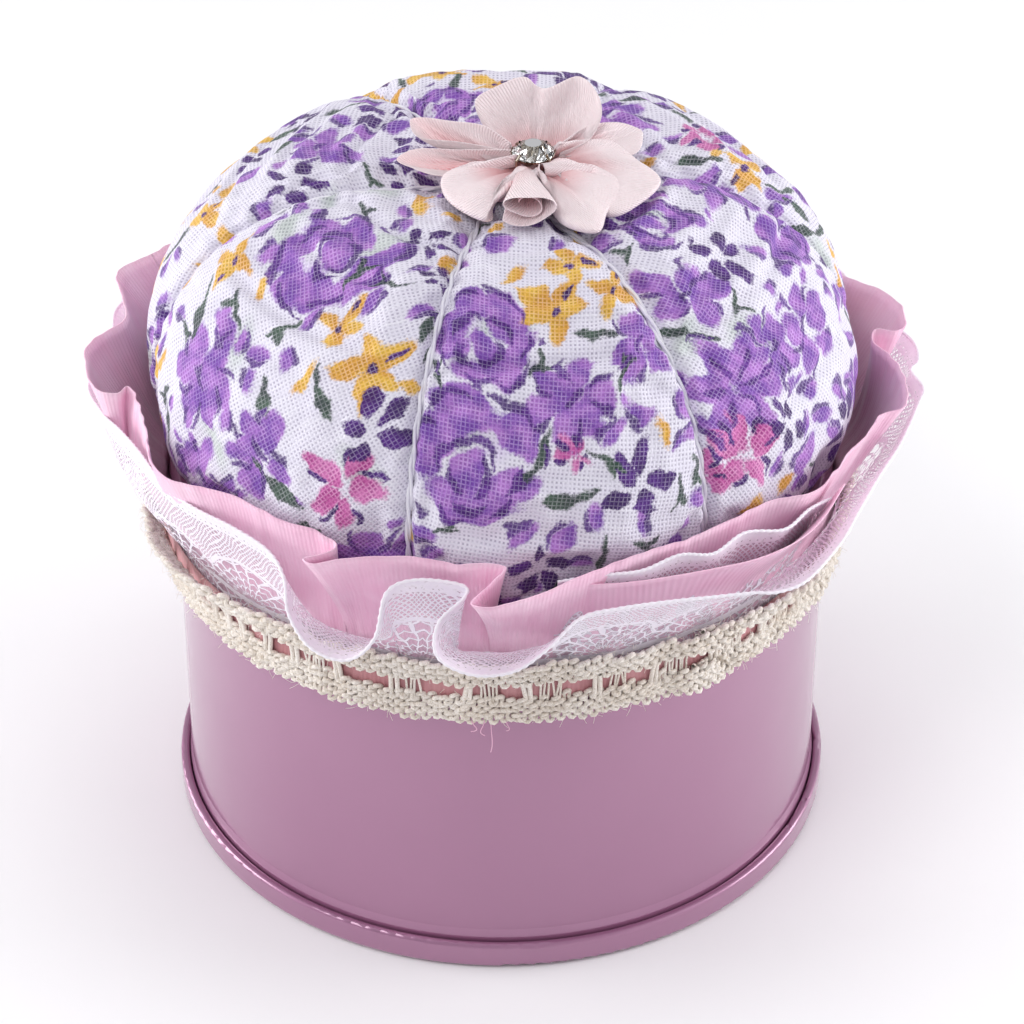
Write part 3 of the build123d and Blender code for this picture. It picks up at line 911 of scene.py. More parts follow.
def settled_turn(points, first):
    """Azimuth of each point, unwound, and eased so that the curve's foot never turns back."""
    turn = np.degrees(np.unwrap(np.arctan2(points[:, 0], -points[:, 1])))
    turn += 360 * round((first - turn[0]) / 360)
    ahead = np.maximum.accumulate(turn)
    behind = np.minimum.accumulate(turn[::-1])[::-1]
    eased = (ahead + behind) / 2
    for _ in range(14):
        eased = (np.concatenate([[eased[-1] - 360], eased[:-1]]) + 2 * eased
                 + np.concatenate([eased[1:], [eased[0] + 360]])) / 4
    return eased


def ruffle_sheet(edge, foot, base_radius, base_height, glued, rows, bow):
    """Points of a gathered band from its glued foot up to its free edge: (row, sample, xyz)."""
    turned = polar(foot, base_radius, base_height)
    low = polar(foot, base_radius - 0.15, base_height - glued)
    share = np.linspace(0, 1, rows)[:, None, None]
    outward = polar(foot, 1.0, 0.0)
    swung = np.exp(-(((foot + 76) / 20) ** 2)) + 0.8 * np.exp(-(((foot - 88) / 13) ** 2))
    knee = turned + (bow + 4.2 * swung)[:, None] * outward + (0, 0, 5.0)
    knee[:, 2] -= 2.0 * swung
    rise = (1 - share) ** 2 * turned + 2 * share * (1 - share) * knee + share ** 2 * edge
    stuck = np.linspace(0, 1, 4)[:-1, None, None]
    return np.concatenate([low + stuck * (turned - low), rise])


def band_attribute(piece, points):
    """Stores the distance along and across a band, in mm, at each of its points."""
    along = np.cumsum(np.linalg.norm(np.diff(points[-1], axis=0, append=points[-1][:1]), axis=1))
    across = np.cumsum(np.linalg.norm(np.diff(points, axis=0, prepend=points[:1]), axis=2), 0)
    across = np.broadcast_to(across.mean(1)[:, None], across.shape)
    along = np.broadcast_to(along, across.shape)
    attribute(piece, "band", np.stack([along, across, across * 0], -1).reshape(-1, 3))
    return across.max()


def ribbon_material(name, light, deep):
    """Fine-ribbed satin: ribs across its width, close weave, soft colour changes, and painted shade
    between the ribs.
    """
    m = Graph(name, Roughness=0.55, Sheen_Weight=0.35, Sheen_Roughness=0.35)
    x, y, _ = m.split(m.read("band", vector=True))
    ribs = m.wave(x, 0.52)
    weft = m.wave(y, 0.30)
    cloudy = m.noise(m.join(x, y), 0.16, 2.0)
    streak = m.noise(m.join(m.times(x, 2.4), m.times(y, 0.12)), 1.0, 3.0)
    tone = m.math("MULTIPLY_ADD", streak, 0.25, m.times(cloudy, 0.75), clamp=True)
    colour = m.mix(m.step(tone, 0.3, 0.75), light, deep)
    # Painted shade: the colour darkens towards deep in the grooves between the ribs.
    colour = m.mix(m.math("MULTIPLY_ADD", ribs, -0.16, 0.16), colour, deep)
    m.colour(colour)
    m.bump(m.math("MULTIPLY_ADD", weft, 0.25, ribs), 0.05, 0.6)
    return m.material


pink_ribbon = ribbon_material("pink_ribbon", srgb(247, 208, 228), srgb(240, 184, 212))


def make_ribbon_ruffle():
    """The pink ribbon: one gathered band round the cushion, with S-folds where it is tucked."""
    edge = closed_curve([(*row, RIBBON_TOP) for row in RIBBON_EDGE], 1500)
    azimuth = np.degrees(np.arctan2(edge[:, 0], -edge[:, 1]))
    edge[:, 2] += 1.2 * np.exp(-(((azimuth + 39) / 13) ** 2))
    edge[:, 2] += 0.22 * smooth_noise((1, len(edge)), (2, 90), 3)[0]
    foot = settled_turn(edge, RIBBON_EDGE[0][0])
    points = ruffle_sheet(edge, foot, 39.15, 45.0, 5.0, 19, 0.9)
    crimp = 0.16 * smooth_noise(points.shape[:2], (4, 260), 6)
    points += crimp[..., None] * polar(foot, 1.0, 0.0)
    piece = new_mesh("ribbon_band", points, grid_faces(*points.shape[:2], True),
                     "ruffle_ribbon", pink_ribbon)
    width = band_attribute(piece, points)
    thicken(piece, RIBBON_SHEET)
    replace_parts(piece, "ribbon_ruffle")


def make_lap():
    """The ribbon's tucked-under end, a short second layer at the front right."""
    table = np.array(((11, 43.4, 57.4), (16, 43.6, 57.0), (22, 44.0, 56.8), (30, 44.8, 56.6),
                      (37, 45.8, 56.4), (44, 46.2, 56.4), (50, 45.8, 56.9), (57, 44.8, 57.6)))
    edge = cubic(polar(*table.T), 30, False)
    foot = np.linspace(11, 57, len(edge))
    points = ruffle_sheet(edge, foot, 39.45, 45.0, 2.5, 16, 0.9)
    piece = new_mesh("ribbon_lap", points, grid_faces(*points.shape[:2], False),
                     "ruffle_ribbon", pink_ribbon)
    attribute(piece, "band", np.stack(np.broadcast_arrays(
        np.linspace(0, 24, len(edge))[None], np.linspace(0, 13, points.shape[0])[:, None], 0.0),
        -1).reshape(-1, 3))
    thicken(piece, RIBBON_SHEET)


def lace_material(top, foot_line):
    """Tulle lace: a net, dense borders and fans of ribs, with open holes between the threads."""
    m = Graph("white_lace", Roughness=0.7, Sheen_Weight=0.2)
    x, y, _ = m.split(m.read("band", vector=True))
    repeat = 12.0
    drift = m.noise(m.join(x, y), 0.25, 2.0)
    x = m.plus(x, m.math("MULTIPLY_ADD", drift, 3.0, -1.5))
    place = m.math("PINGPONG", m.plus(x, 3.0), repeat / 2)
    up = m.math("SUBTRACT", y, foot_line + 0.3)
    reach = m.math("SQRT", m.plus(m.math("POWER", place, 2.0), m.math("POWER", up, 2.0)))
    angle = m.math("ARCTAN2", place, up)
    ribs = m.wave(angle, 0.34)
    scallop = m.plus(reach, m.times(m.math("ABSOLUTE", m.math(
        "SINE", m.times(angle, math.pi / 0.34))), 0.45))
    rings = m.wave(scallop, 1.25)
    fan = m.math("MAXIMUM", m.step(ribs, 0.84, 0.95), m.step(rings, 0.80, 0.93))
    inner = m.step(reach, 6.6, 7.0, 1.0, 0.0)
    net = m.math("MAXIMUM", m.step(m.wave(m.plus(x, y), 0.66), 0.42, 0.72),
                 m.step(m.wave(m.math("SUBTRACT", x, y), 0.66), 0.42, 0.72))
    outline = m.step(m.math("ABSOLUTE", m.math("SUBTRACT", reach, 7.1)), 0.22, 0.40, 1.0, 0.0)
    body = m.math("MAXIMUM", outline, m.mix(inner, net, fan))
    border = m.step(y, top - 1.7, top - 1.4)
    pins = m.times(m.wave(x, 0.8), m.wave(m.math("SUBTRACT", y, top), 0.7))
    border = m.times(border, m.step(pins, 0.55, 0.75, 1.0, 0.2))
    foot = m.step(m.math("ABSOLUTE", m.math("SUBTRACT", y, foot_line)), 0.35, 0.55, 1.0, 0.0)
    dense = m.math("MAXIMUM", m.math("MAXIMUM", border, foot), m.step(y, top - 0.7, top - 0.5))
    thread = m.math("MAXIMUM", body, dense, clamp=True)
    wavy = m.noise(m.join(x, y), 1.6, 2.0)
    thread = m.times(thread, m.step(wavy, 0.25, 0.45, 0.75, 1.0))
    m.colour(m.mix(wavy, srgb(250, 246, 252), srgb(234, 226, 241)))
    m.link(m.math("MULTIPLY_ADD", thread, 0.78, 0.16, clamp=True), "Alpha")
    m.bump(thread, 0.08, 0.8)
    return m.material


def edge_cord(name, edge, closed):
    """The beaded cord along a lace's free edge."""
    bead = 0.19 * (1 + 0.25 * np.sin(np.arange(len(edge)) * 2 * np.pi / 4))
    points, faces = tubes(edge[None], bead[None], 6, closed=closed)
    cord = new_mesh(name, points, faces, "lace", lace_cord)
    attribute(cord, "fibre", np.zeros((len(points), 3)))


lace_cord = thread_material("lace_cord", srgb(252, 250, 253), srgb(236, 226, 240), 0.6)
LACE_FOOT, LACE_GLUED, LACE_WIDTH = 44.6, 4.8, 12.6
white_lace = lace_material(LACE_GLUED + LACE_WIDTH, LACE_GLUED)


def lace_piece(name, points, closed):
    """A length of lace from its points; its pattern is stretched to the lace's full width."""
    rows, columns = points.shape[:2]
    crimp = 0.16 * smooth_noise((rows, columns), (4, columns // 6), 16)
    crimp = crimp + 0.50 * smooth_noise((rows, columns), (5, columns // 14), 17)
    crimp = crimp * np.sin(np.linspace(0, np.pi, rows))[:, None]
    turn = np.degrees(np.arctan2(points[..., 0], -points[..., 1]))
    points = points + (np.abs(crimp) + 0.4 * crimp)[..., None] * polar(turn, 1.0, 0.0)
    piece = new_mesh(name, points, grid_faces(rows, columns, closed), "lace", white_lace)
    along = np.cumsum(np.linalg.norm(np.diff(points[rows // 2], axis=0,
                                             prepend=points[rows // 2][:1]), axis=1))
    along *= np.round(along[-1] / 12) * 12 / along[-1] if closed else 1
    across = np.concatenate([np.linspace(0, LACE_GLUED, 4)[:-1],
                             np.linspace(LACE_GLUED, LACE_GLUED + LACE_WIDTH, rows - 3)])
    attribute(piece, "band", np.stack(np.broadcast_arrays(
        along[None], across[:, None], 0.0), -1).reshape(-1, 3))
    return piece


def make_lace_ruffle():
    """The white lace, gathered over the ribbon, with a corded free edge."""
    edge = closed_curve(LACE_EDGE, 1500)
    foot = settled_turn(edge, LACE_EDGE[0][0])
    points = ruffle_sheet(edge, foot, 39.62, LACE_FOOT, LACE_GLUED, 17, 1.5)
    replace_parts(lace_piece("lace_band", points, True), "lace_ruffle")
    edge_cord("lace_edge_cord", edge, True)
    table = np.array(((8, 42.6, 57.4), (14, 42.9, 57.9), (20, 43.3, 57.8), (26, 43.1, 58.4),
                      (31, 43.9, 57.8), (37, 43.3, 58.3), (43, 44.7, 57.4), (49, 44.2, 57.4),
                      (54, 44.4, 56.8)))
    edge = cubic(polar(*table.T), 26, False)
    foot = np.linspace(8, 54, len(edge))
    points = ruffle_sheet(edge, foot, 39.35, LACE_FOOT, LACE_GLUED, 17, 1.2)
    lace_piece("lace_inner_end", points, False)
    edge_cord("lace_inner_cord", edge, False)


make_ribbon_ruffle()
make_lap()
make_lace_ruffle()

# ---------------------------------------------------------------- crochet band

BAND_LAP = 33.0       # azimuth where the band's ends overlap
STITCHES = 204        # of one row
YARN = 0.27           # radius of the yarn
TOP_ROWS = (42.6, 43.2, 43.8, 44.4)
FOOT_ROWS = (37.3, 37.9, 38.5, 39.1, 39.65)
# The tape's rose colour, darker than the ribbon's pink, is painted shade behind the band's
# openings.
TAPE = ((39.72, 39.2), (39.76, 40.9), (39.74, 42.8))     # radius and height across the rose tape
FLUFF_ROWS = (37.2, 38.0, 39.0, 40.0, 42.8, 44.0, 45.4, 46.1)
FLUFF = 2600          # number of loose fibres
# Pink thread ends at the front: azimuth, length and curl.
THREAD_ENDS = ((-4.6, 1.4, 1.5), (-2.6, 1.9, -1.0), (-1.6, 4.2, 0.4), (0.8, 1.2, 0.8))


def band_radius(turn, height):
    """Outside of the glued ruffles, which spread the band's upper edge most at the sides."""
    left = 2.6 * np.exp(-(((turn + 62) / 16) ** 2))
    right = 1.9 * np.exp(-(((turn - 52) / 12) ** 2))
    rear = 0.9 * (1 + np.sin(np.radians(turn * 4 + 40))) * smoothstep(np.abs(turn - 180), 95, 50)
    spread = smoothstep(height, 40.6, 45.2)
    return 39.95 + spread * (0.75 + left + right + rear)


def knit_row(height, seed, loop_height=1.25, start=0.0):
    """One row of yarn loops round the tin, ends overlapping: points in mm."""
    rng = np.random.default_rng(seed)
    per = 12
    t = np.arange(int((STITCHES + 3) * per)) / per
    stitch = 2 * np.pi * t
    share = (t + start + 0.30 * np.sin(2 * stitch) / 2) / STITCHES
    turn = BAND_LAP - 1.5 + 360 * share
    wander = np.interp(t, np.arange(STITCHES + 4), rng.normal(0, 0.24, STITCHES + 4))
    z = height + 0.5 * loop_height * np.cos(stitch) + wander
    lifted = 0.75 * smoothstep(share, 0.985, 1.0)
    radius = band_radius((turn + 180) % 360 - 180, z) + lifted
    wander = np.interp(t, np.arange(STITCHES + 4), rng.normal(0, 0.16, STITCHES + 4))
    radius = radius + 0.24 * np.cos(2 * stitch + 0.6) + wander
    return polar(turn, radius, z)


def cotton_yarn():
    m = Graph("crochet_cotton", Roughness=0.9, Sheen_Weight=0.4, Sheen_Roughness=0.6)
    where = m.place()
    fine = m.noise(where, 5.5, 3.0, 0.6)
    broad = m.noise(where, 0.22, 2.0)
    clean = m.mix(m.step(broad, 0.35, 0.65), srgb(250, 242, 234), srgb(240, 229, 218))
    m.colour(m.mix(m.step(fine, 0.26, 0.55), srgb(214, 200, 178), clean))
    m.bump(fine, 0.16, 0.9)
    return m.material


def post_paths():
    """Upright yarns between the two halves of the band, in groups that leave long openings."""
    rng = np.random.default_rng(4)
    groups, fine = [], []
    turn = BAND_LAP + 2
    while turn < BAND_LAP + 358:
        for k in range(2):
            groups.append((turn + k * 0.85 + rng.normal(0, 0.1), rng.normal(0, 0.4)))
        closed = math.cos(math.radians(turn - 290)) > 0.86
        gap = rng.uniform(1.5, 4.5) if closed else rng.uniform(6.0, 11.0)
        if rng.random() < 0.6 and not closed:
            for k in range(int(rng.integers(4, 10))):
                fine.append((turn + 2.6 + k * 0.62 + rng.normal(0, 0.12), rng.normal(0, 0.4)))
        turn += gap + 1.7

    def upright(items, low, high, depth):
        paths = []
        s = np.linspace(0, 1, 10)
        for at, lean in items:
            z = low + (high - low) * s
            around = at + lean * (s - 0.5)
            bow = depth + 0.12 * np.sin(np.pi * s)
            paths.append(polar(around, band_radius((around + 180) % 360 - 180, z) + bow, z))
        return np.array(paths)
    return upright(groups, 39.2, 42.5, 0.1), upright(fine, 39.3, 42.6, 0.0)


def joined(parts):
    """Points and faces of several lists joined."""
    points, faces, count = [], [], 0
    for p, f in parts:
        points.append(p)
        faces.append(f + count)
        count += len(p)
    return np.concatenate(points), np.concatenate(faces)


def make_crochet():
    """Cream cotton trim: a thick upper edge, a row of openings, and five looped rows below."""
    yarn = cotton_yarn()
    upper = [tubes(knit_row(z, 40 + k, 1.0, 0.5 * (k % 2))[None], YARN * 1.1, 6)
             for k, z in enumerate(TOP_ROWS)]
    lower = [tubes(knit_row(z, 60 + k, 1.0, 0.5 * (k % 2))[None], YARN, 6)
             for k, z in enumerate(FOOT_ROWS)]
    thick, fine = post_paths()
    middle = [tubes(thick, YARN * 1.05, 6), tubes(fine, 0.14, 5)]
    for name, parts in (("crochet_top", upper), ("crochet_posts", middle), ("crochet_foot", lower)):
        piece = new_mesh(name, *joined(parts), "crochet_cotton", yarn)
        if name == "crochet_top":
            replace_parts(piece, "crochet_band")


def make_tape():
    """A rose-pink tape behind the band's openings; its pink, darker than the ribbon's, is painted
    shade.
    """
    turn = np.linspace(0, 360, 360, endpoint=False)
    radius, height = np.array(TAPE).T[..., None]
    points = polar(turn[None], radius, height)
    # Painted shade: darker pinks than the pink ribbon's.
    satin_tape = ribbon_material("rose_tape", srgb(214, 156, 160), srgb(178, 116, 122))
    piece = new_mesh("rose_tape", points, grid_faces(3, 360, True), "ruffle_ribbon", satin_tape)
    band_attribute(piece, points)


def make_fluff():
    """Short loose fibres that stand off the cotton, and a few pink thread ends at the front."""
    rng = np.random.default_rng(77)
    count = FLUFF
    at = rng.uniform(0, 360, count)
    z0 = rng.choice(FLUFF_ROWS, count) + rng.normal(0, 0.3, count)
    s = np.linspace(0, 1, 6)[None]
    reach, rise, drift = (rng.uniform(0.2, 0.9, (count, 1)), rng.normal(-0.1, 0.5, (count, 1)),
                          rng.normal(0, 0.9, (count, 1)))
    radius = band_radius((at + 180) % 360 - 180, z0)[:, None] + 0.25 + reach * s ** 0.7
    paths = polar(at[:, None] + drift * s ** 1.5, radius, z0[:, None] + rise * s ** 1.3)
    points, faces = tubes(paths, 0.022, 3)
    new_mesh("cotton_fluff", points, faces, "crochet_cotton", cotton_yarn())
    ends = []
    for turn, length, curl in THREAD_ENDS:
        s = np.linspace(0, 1, 14)
        around = turn + curl * np.sin(3.2 * s) * s
        ends.append(polar(around, 40.2 + 0.5 * np.sin(2.5 * s), 37.1 - length * s))
    points, faces = tubes(np.array(ends), 0.055, 5)
    pink = thread_material("pink_thread", srgb(236, 190, 214), srgb(214, 150, 184), 0.6)
    piece = new_mesh("thread_ends", points, faces, "thread", pink)
    attribute(piece, "fibre", np.zeros((len(points), 3)))


make_crochet()
make_tape()
make_fluff()

# ---------------------------------------------------------------- flower

FLOWER = np.array((3.5, -1.1, 85.8))      # the stone's middle, over the cushion's crown
# Each petal: how far its belly rises or sinks, and its free edge from the stone's middle, in mm.
PETALS = (
    ("back", -1.6, ((-2.6, 1.4, 0.2), (-5.4, 4, 1), (-6.4, 5.5, 3.3), (-4.5, 6.8, 4.2),
                    (-1.1, 8, 5), (0.5, 7.5, 4.1), (1.8, 6.6, 4.4), (5, 7.4, 5.4),
                    (7, 5.6, 4.5), (7.6, 3.2, 2.9), (6.2, 1.4, 0.8), (3.0, 0.6, -0.4))),
    ("left_upper", -1.9, ((-2.4, 1.4, 0.3), (-5.4, 3.2, 1.5), (-9, 3.9, 1.7), (-12.2, 4.0, 2.1),
                          (-13.6, 3.2, 2.1), (-12.6, 1.7, 0.9), (-8.1, 1.2, 0.6), (-2.6, 0.3, 0))),
    ("left_lower", -1.8, ((-2.4, 0.2, 0.2), (-8.3, 0.9, -0.2), (-12.8, 0.9, -0.1),
                          (-15, -0.8, -0.4), (-13.6, -2.2, -0.6), (-9.9, -3.6, -0.9),
                          (-3.6, -2, -0.6))),
    ("front_left", 1.3, ((-1.8, -1.4, 0.1), (-5.8, -2.6, -0.2), (-9.6, -3.7, -0.6),
                         (-9.7, -7.0, -0.9), (-7.9, -9.8, -1.2), (-5.2, -11.6, -1.4),
                         (-4.9, -9.4, -1.0), (-3.4, -6.6, -0.4), (-0.9, -5.5, -0.3),
                         (0.8, -4.2, -0.3))),
    ("front_curl", 0.0, ()),
    ("front_right", 1.4, ((1.2, -3.6, -0.2), (4.5, -3.7, -0.2), (8.4, -4.3, -0.4),
                          (9.6, -7.2, -0.6), (7.9, -10.6, -1.0), (6.9, -14.2, -1.3),
                          (3.8, -13.2, -1.2), (2.2, -10.3, -0.9), (1.1, -5.4, -0.6))),
    ("right", 1.1, ((2.4, 0.6, 0.1), (4.5, 1.4, 0.4), (8.3, 1.5, 0.6), (11.3, -1.8, 0.1),
                    (13.8, -5.2, -0.5), (11.2, -9.2, -1.0), (8.3, -10.6, -1.4), (5, -7, -1.3),
                    (2.6, -3, -0.9))),
    ("right_back", 0.4, ((2.8, 1.2, 0), (6, 3.4, 1.2), (9, 4.3, 1.3), (11.3, 3.8, 1),
                         (12.2, 2.4, 0.7), (10.8, -0.8, 0), (4, 0, -0.6))),
)


HEMMED = 0.45         # a belly that rises more than this has its edge turned under
CUPPED = -1.7         # a belly that sinks more than this has a shaded middle


def satin():
    """Light pink satin with a slanting weave; its deeper pink near the stone, in cupped middles and
    inside the roll is painted shade, and its pale twill lines are painted highlight.
    """
    m = Graph("flower_satin", Roughness=0.30, Sheen_Weight=0.2, Sheen_Roughness=0.3,
              Anisotropic=0.5, Specular_IOR_Level=0.8)
    x, y, _ = m.split(m.read("band", vector=True))
    deep = m.read("depth")
    slant = m.plus(x, m.times(y, 0.55))
    weave = m.noise(m.join(m.times(slant, 3.4), m.times(y, 1.1)), 1.6, 3.0)
    twill = m.wave(slant, 0.36)
    # Painted shade: deeper pink where the depth attribute is low.
    colour = m.mix(m.step(deep, 0.0, 0.80), srgb(246, 150, 154), srgb(255, 237, 240))
    colour = m.mix(m.times(m.step(weave, 0.42, 0.64), 0.30), colour, srgb(246, 216, 220))
    # Painted highlight: paler colour along the twill lines.
    m.colour(m.mix(m.step(twill, 0.35, 0.95, 0.0, 0.30), colour, srgb(254, 240, 242)))
    m.bump(m.math("MULTIPLY_ADD", twill, 0.8, weave), 0.09, 0.9)
    return m.material


def rolled_petal():
    """The front petal: ribbon rolled round itself, widest at its open forward end."""
    s, t = np.linspace(0, 1, 24)[:, None], np.linspace(0, 1, 130)[None]
    angle = 2 * np.pi * 1.85 * t + 3.3 + 0.5 * s
    radius = (0.5 + 1.55 * s ** 0.75) * (1 - 0.66 * t) * (1 + 0.06 * np.sin(3 * angle))
    crease = 0.16 * np.sin(2.5 * angle + 4 * s) * s
    return np.stack([-1.0 + 0.3 * s + 1.65 * (radius + crease) * np.cos(angle),
                     -3.8 - 8.9 * s + 1.3 * t * s,
                     -0.3 + 0.4 * s + 0.98 * (radius + crease) * np.sin(angle)], -1)


def folded_petal(edge, belly, seed):
    """A petal from the stone to its free edge, with pleats at its root and a hem turned under."""
    away = edge[:, :2] / np.maximum(np.linalg.norm(edge[:, :2], axis=1, keepdims=True), 1e-6)
    root = np.column_stack([away * 1.5, np.full(len(edge), -1.9)])
    knee = root + (edge - root) * (0.62, 0.62, 0.5)
    knee[:, 2] = np.minimum(edge[:, 2], 1.5) * 0.5 + np.where(belly > 0, belly, belly - 0.4)
    s = np.linspace(0, 1, 22)[:, None, None]
    points = (1 - s) ** 2 * root + 2 * s * (1 - s) * knee + s ** 2 * edge
    if belly > HEMMED:
        fold = np.linspace(0, 1, 7)[1:, None, None]
        hem = np.repeat(edge[None], len(fold), 0)
        hem[..., :2] = hem[..., :2] * (1 - 0.12 * fold ** 2) + 0.22 * np.sin(np.pi * fold) * away
        hem[..., 2:] -= 1.2 * fold
        points = np.concatenate([points, hem])
        s = np.linspace(0, 1.25, len(points))[:, None, None]
    soft = 0.30 * smooth_noise(points.shape[:2], (4, 9), 30 + seed)
    soft = soft + 0.16 * smooth_noise(points.shape[:2], (6, 26), 50 + seed)
    t = np.linspace(0, 1, len(edge))
    pleat = np.sin(2 * np.pi * (3.4 * t + 0.4 * np.sin(5 * t + seed)))
    sharp = np.sign(pleat) * np.abs(pleat) ** 0.7
    soft = soft + 0.46 * sharp * np.clip(1 - s[..., 0], 0, 1) ** 0.8
    fade = np.sin(np.pi * np.minimum(s[..., 0], 1))
    return points + surface_normals(points) * (soft * fade)[..., None], s, edge


def make_flower():
    """Seven folds of satin ribbon pinched at the stone, and a roll at the front."""
    cloth = satin()
    nodes = iter([f"flower_petal_{k + 1}" for k in range(7)])
    for number, (name, belly, edge) in enumerate(PETALS):
        if edge:
            points, s, edge = folded_petal(cubic(np.array(edge, float), 16, False), belly, number)
        else:
            points = rolled_petal()
            s, edge = np.linspace(0, 1, len(points))[:, None, None], points[-1]
        points = points + FLOWER
        piece = new_mesh(f"petal_{name}", points, grid_faces(*points.shape[:2], False),
                         "flower_ribbon", cloth)
        out = steps(points, 0).mean(1).sum()
        attribute(piece, "band", np.stack(np.broadcast_arrays(
            walked(edge)[None], out * s[..., 0], 0.0), -1).reshape(-1, 3))
        # Painted shade for the satin: the depth attribute is low near the stone, in a cupped
        # petal's middle and inside the roll.
        t = np.linspace(0, 1, len(edge))[None]
        light = 1.15 * s[..., 0]
        if belly < CUPPED:
            light = 0.55 * s[..., 0] + 0.7 * np.abs(2 * t - 1) ** 1.5
        elif name == "front_curl":
            light = 0.35 * s[..., 0] + 0.75 * (1 - t) ** 0.8
        attribute(piece, "depth", np.broadcast_to(light, points.shape[:2]).ravel())
        thicken(piece, 0.14)
        subdivide = piece.modifiers.new("soft", "SUBSURF")
        subdivide.levels = subdivide.render_levels = 1
        apply_modifiers(piece)
        node = next(nodes, None)
        if node:
            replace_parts(piece, node)


def make_felt():
    """Felt disc under the flower: a soft uneven edge and a fibrous face."""
    low, high = low_mm("flower_backing"), high_mm("flower_backing")
    middle, reach = (low + high) / 2, (high[0] - low[0]) / 2
    profile = np.array([(0.02, 1), (0.5, 1), (0.9, 1), (0.97, 0.86), (1, 0.5), (0.97, 0.12),
                        (0.9, 0), (0.5, 0), (0.02, 0)])
    turn = np.linspace(0, 360, 96, endpoint=False)
    wobble = 1 + 0.02 * smooth_noise((1, 96), (2, 24), 12)
    points = polar(turn[None], profile[:, :1] * reach * wobble,
                   low[2] + profile[:, 1:] * (high[2] - low[2]))
    points[..., :2] += middle[:2]
    m = Graph("pink_felt", Roughness=0.95, Sheen_Weight=0.5)
    fibre = m.noise(m.place(), 3.0, 4.0, 0.7)
    m.colour(m.mix(fibre, srgb(228, 170, 186), srgb(240, 205, 214)))
    m.bump(fibre, 0.2, 0.8)
    faces = grid_faces(len(profile), 96, True)[:, ::-1]
    piece = new_mesh("felt_disc", points, faces, "felt", m.material)
    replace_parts(piece, "flower_backing")


def polyhedron(rings, name, material):
    """A faceted solid from rings of equal point counts, flat-shaded, with closed ends."""
    count = len(rings[0])
    points = np.concatenate([np.array(ring, float) for ring in rings])
    quads = grid_faces(len(rings), count, True)
    centre_low = points[:count].mean(0)
    centre_high = points[-count:].mean(0)
    points = np.vstack([points, centre_low, centre_high])
    triangles = []
    for k in range(count):
        triangles.append((k, (k + 1) % count, len(points) - 2))
        last = (len(rings) - 1) * count
        triangles.append((last + (k + 1) % count, last + k, len(points) - 1))
    mesh = bpy.data.meshes.new(name)
    mesh.from_pydata([tuple(p * MM) for p in points], [],
                     [tuple(map(int, q)) for q in quads] + triangles)
    piece = bpy.data.objects.new(name, mesh)
    bpy.context.scene.collection.objects.link(piece)
    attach(piece, "lid")
    piece.data.materials.append(material)
    return piece


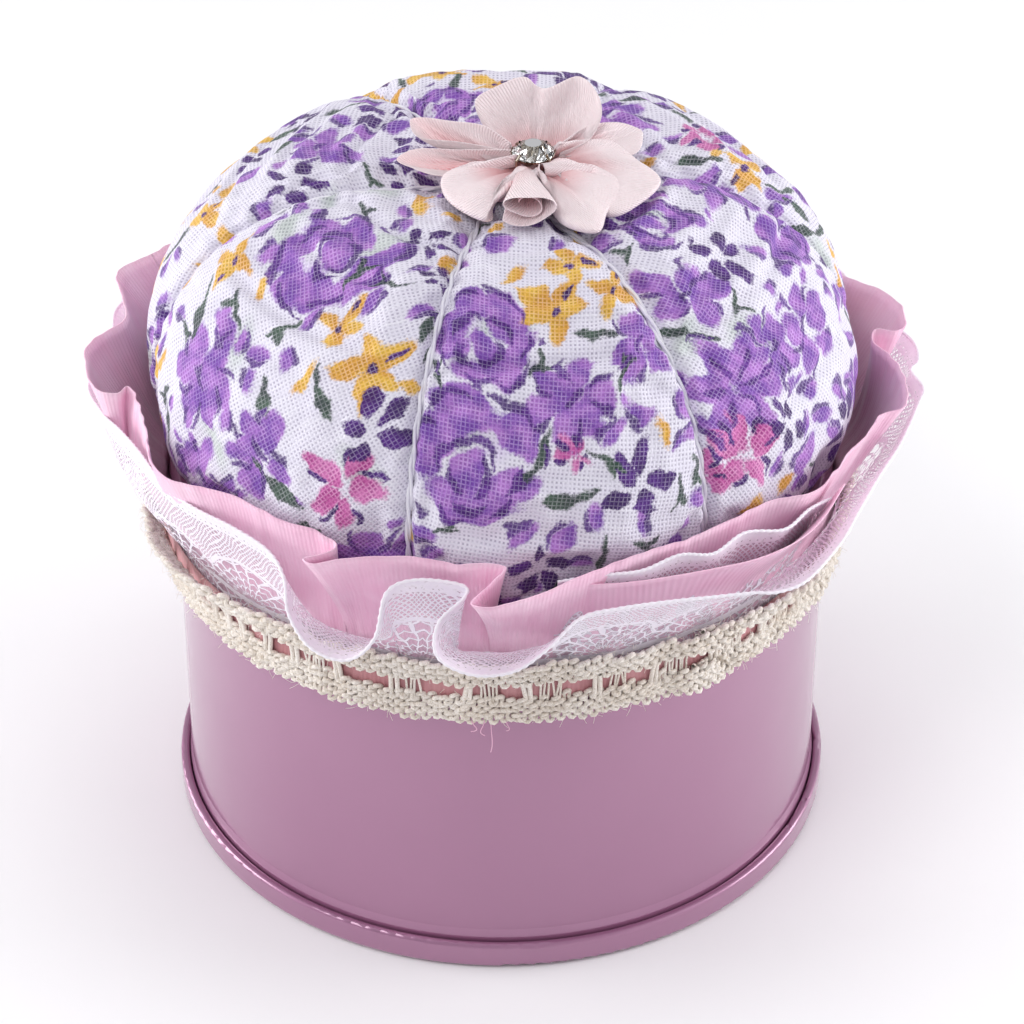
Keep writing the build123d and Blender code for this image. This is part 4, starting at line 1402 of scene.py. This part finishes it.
def make_stone():
    """Cut glass stone: table, crown facets, girdle and a foiled pavilion, in a claw setting; the
    dark foil facets are painted reflection.
    """
    girdle = 2.35
    turn = np.arange(16) * 360 / 16
    lift = np.where(np.arange(16) % 2 == 0, 0.0, 0.12)

    def ring(radius, height, wave=0.0):
        return polar(turn, radius + wave * lift, height) + FLOWER
    rings = [ring(0.25, -1.75), ring(1.5, -0.85, 1.5), ring(girdle, -0.16), ring(girdle, 0.06),
             ring(1.75, 0.72, -2.4), ring(0.95, 1.15)]
    glass = Graph("cut_glass", Roughness=0.01, IOR=1.7, Transmission_Weight=1.0)
    where = glass.noise(glass.place(), 0.9, 1.0)
    glass.colour(glass.mix(where, (0.93, 0.96, 1.0, 1), (1.0, 0.98, 0.93, 1)))
    stone = polyhedron(rings, "glass_stone", glass.material)
    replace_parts(stone, "rhinestone")
    # Painted reflection: dark brownish foil on a random share of the cup's faces stands in for the
    # stone's dark reflections.
    painted_reflection_facets = Graph("foil_painted_reflection", Metallic=1.0, Roughness=0.10)
    reflection_mottle = painted_reflection_facets.noise(painted_reflection_facets.place(), 2.0, 2.0)
    painted_reflection_facets.colour(painted_reflection_facets.mix(reflection_mottle, srgb(96, 84, 70), srgb(150, 134, 112)))
    foil = Graph("silver_foil", Metallic=1.0, Roughness=0.10)
    tarnish = foil.noise(foil.place(), 1.1, 3.0)
    foil.colour(foil.mix(foil.step(tarnish, 0.35, 0.7), srgb(214, 206, 190), srgb(128, 108, 82)))
    rings = [ring(0.40, -1.95), ring(1.62, -0.98, 1.5), ring(girdle + 0.10, -0.22),
             ring(girdle + 0.16, -0.02), ring(girdle + 0.05, -0.02), ring(girdle + 0.01, -0.20),
             ring(1.56, -0.93, 1.5), ring(0.3, -1.84)]
    cup = polyhedron(rings, "stone_cup", foil.material)
    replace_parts(cup, "stone_setting")
    cup.data.materials.append(painted_reflection_facets.material)
    # Painted reflection: about 42 per cent of the cup's faces, chosen at random, get the dark foil.
    rng = np.random.default_rng(2)
    for face in cup.data.polygons:
        face.material_index = int(rng.random() < 0.42)
    claws = []
    for k in range(4):
        s = np.linspace(0, 1, 12)
        reach = girdle + 0.22 - 0.55 * smoothstep(s, 0.55, 1.0)
        claws.append(polar(45 + 90 * k, reach, -0.9 + 1.35 * s) + FLOWER)
    points, faces = tubes(np.array(claws), 0.17, 8)
    new_mesh("stone_claws", points, faces, "setting_metal", foil.material)


make_flower()
make_felt()
make_stone()

# ---------------------------------------------------------------- tin, lid and board

def painted_tin(name, light, deep):
    """Satin gloss enamel on tinplate: faint orange peel, dust, and thin wear along the edges."""
    m = Graph(name, Metallic=0.45, Roughness=0.36, Coat_Weight=1.0, Coat_Roughness=0.15,
              Coat_IOR=1.65)
    where = m.place()
    peel = m.noise(where, 1.4, 2.0)
    cloud = m.noise(where, 0.05, 2.0)
    speck = m.noise(where, 3.2, 3.0, 0.6)
    geometry = m.node("ShaderNodeNewGeometry").outputs["Pointiness"]
    worn = m.times(m.step(geometry, 0.60, 0.68), m.step(speck, 0.54, 0.66, 0.0, 0.6))
    paint = m.mix(cloud, light, deep)
    paint = m.mix(m.step(speck, 0.74, 0.80, 0.0, 0.12), paint, srgb(216, 186, 206))
    m.colour(m.mix(worn, paint, srgb(196, 188, 190)))
    m.link(m.step(cloud, 0.3, 0.8, 0.32, 0.42), "Roughness")
    m.bump(peel, 0.012, 0.25)
    return m.material


def finish_tin():
    """Gives the rigid CAD parts their materials."""
    mauve = painted_tin("mauve_enamel", srgb(168, 114, 148), srgb(162, 109, 143))
    for node in ("tin_wall", "tin_bottom", "lid_shell"):
        piece = bpy.data.objects[node]
        piece.data.materials.clear()
        piece.data.materials.append(mauve)
    board = Graph("grey_board", Roughness=0.9)
    pulp = board.noise(board.place(), 1.2, 4.0, 0.65)
    board.colour(board.mix(pulp, srgb(150, 142, 132), srgb(184, 176, 164)))
    board.bump(pulp, 0.1, 0.6)
    piece = bpy.data.objects["cushion_board"]
    piece.data.materials.clear()
    piece.data.materials.append(board.material)


finish_tin()
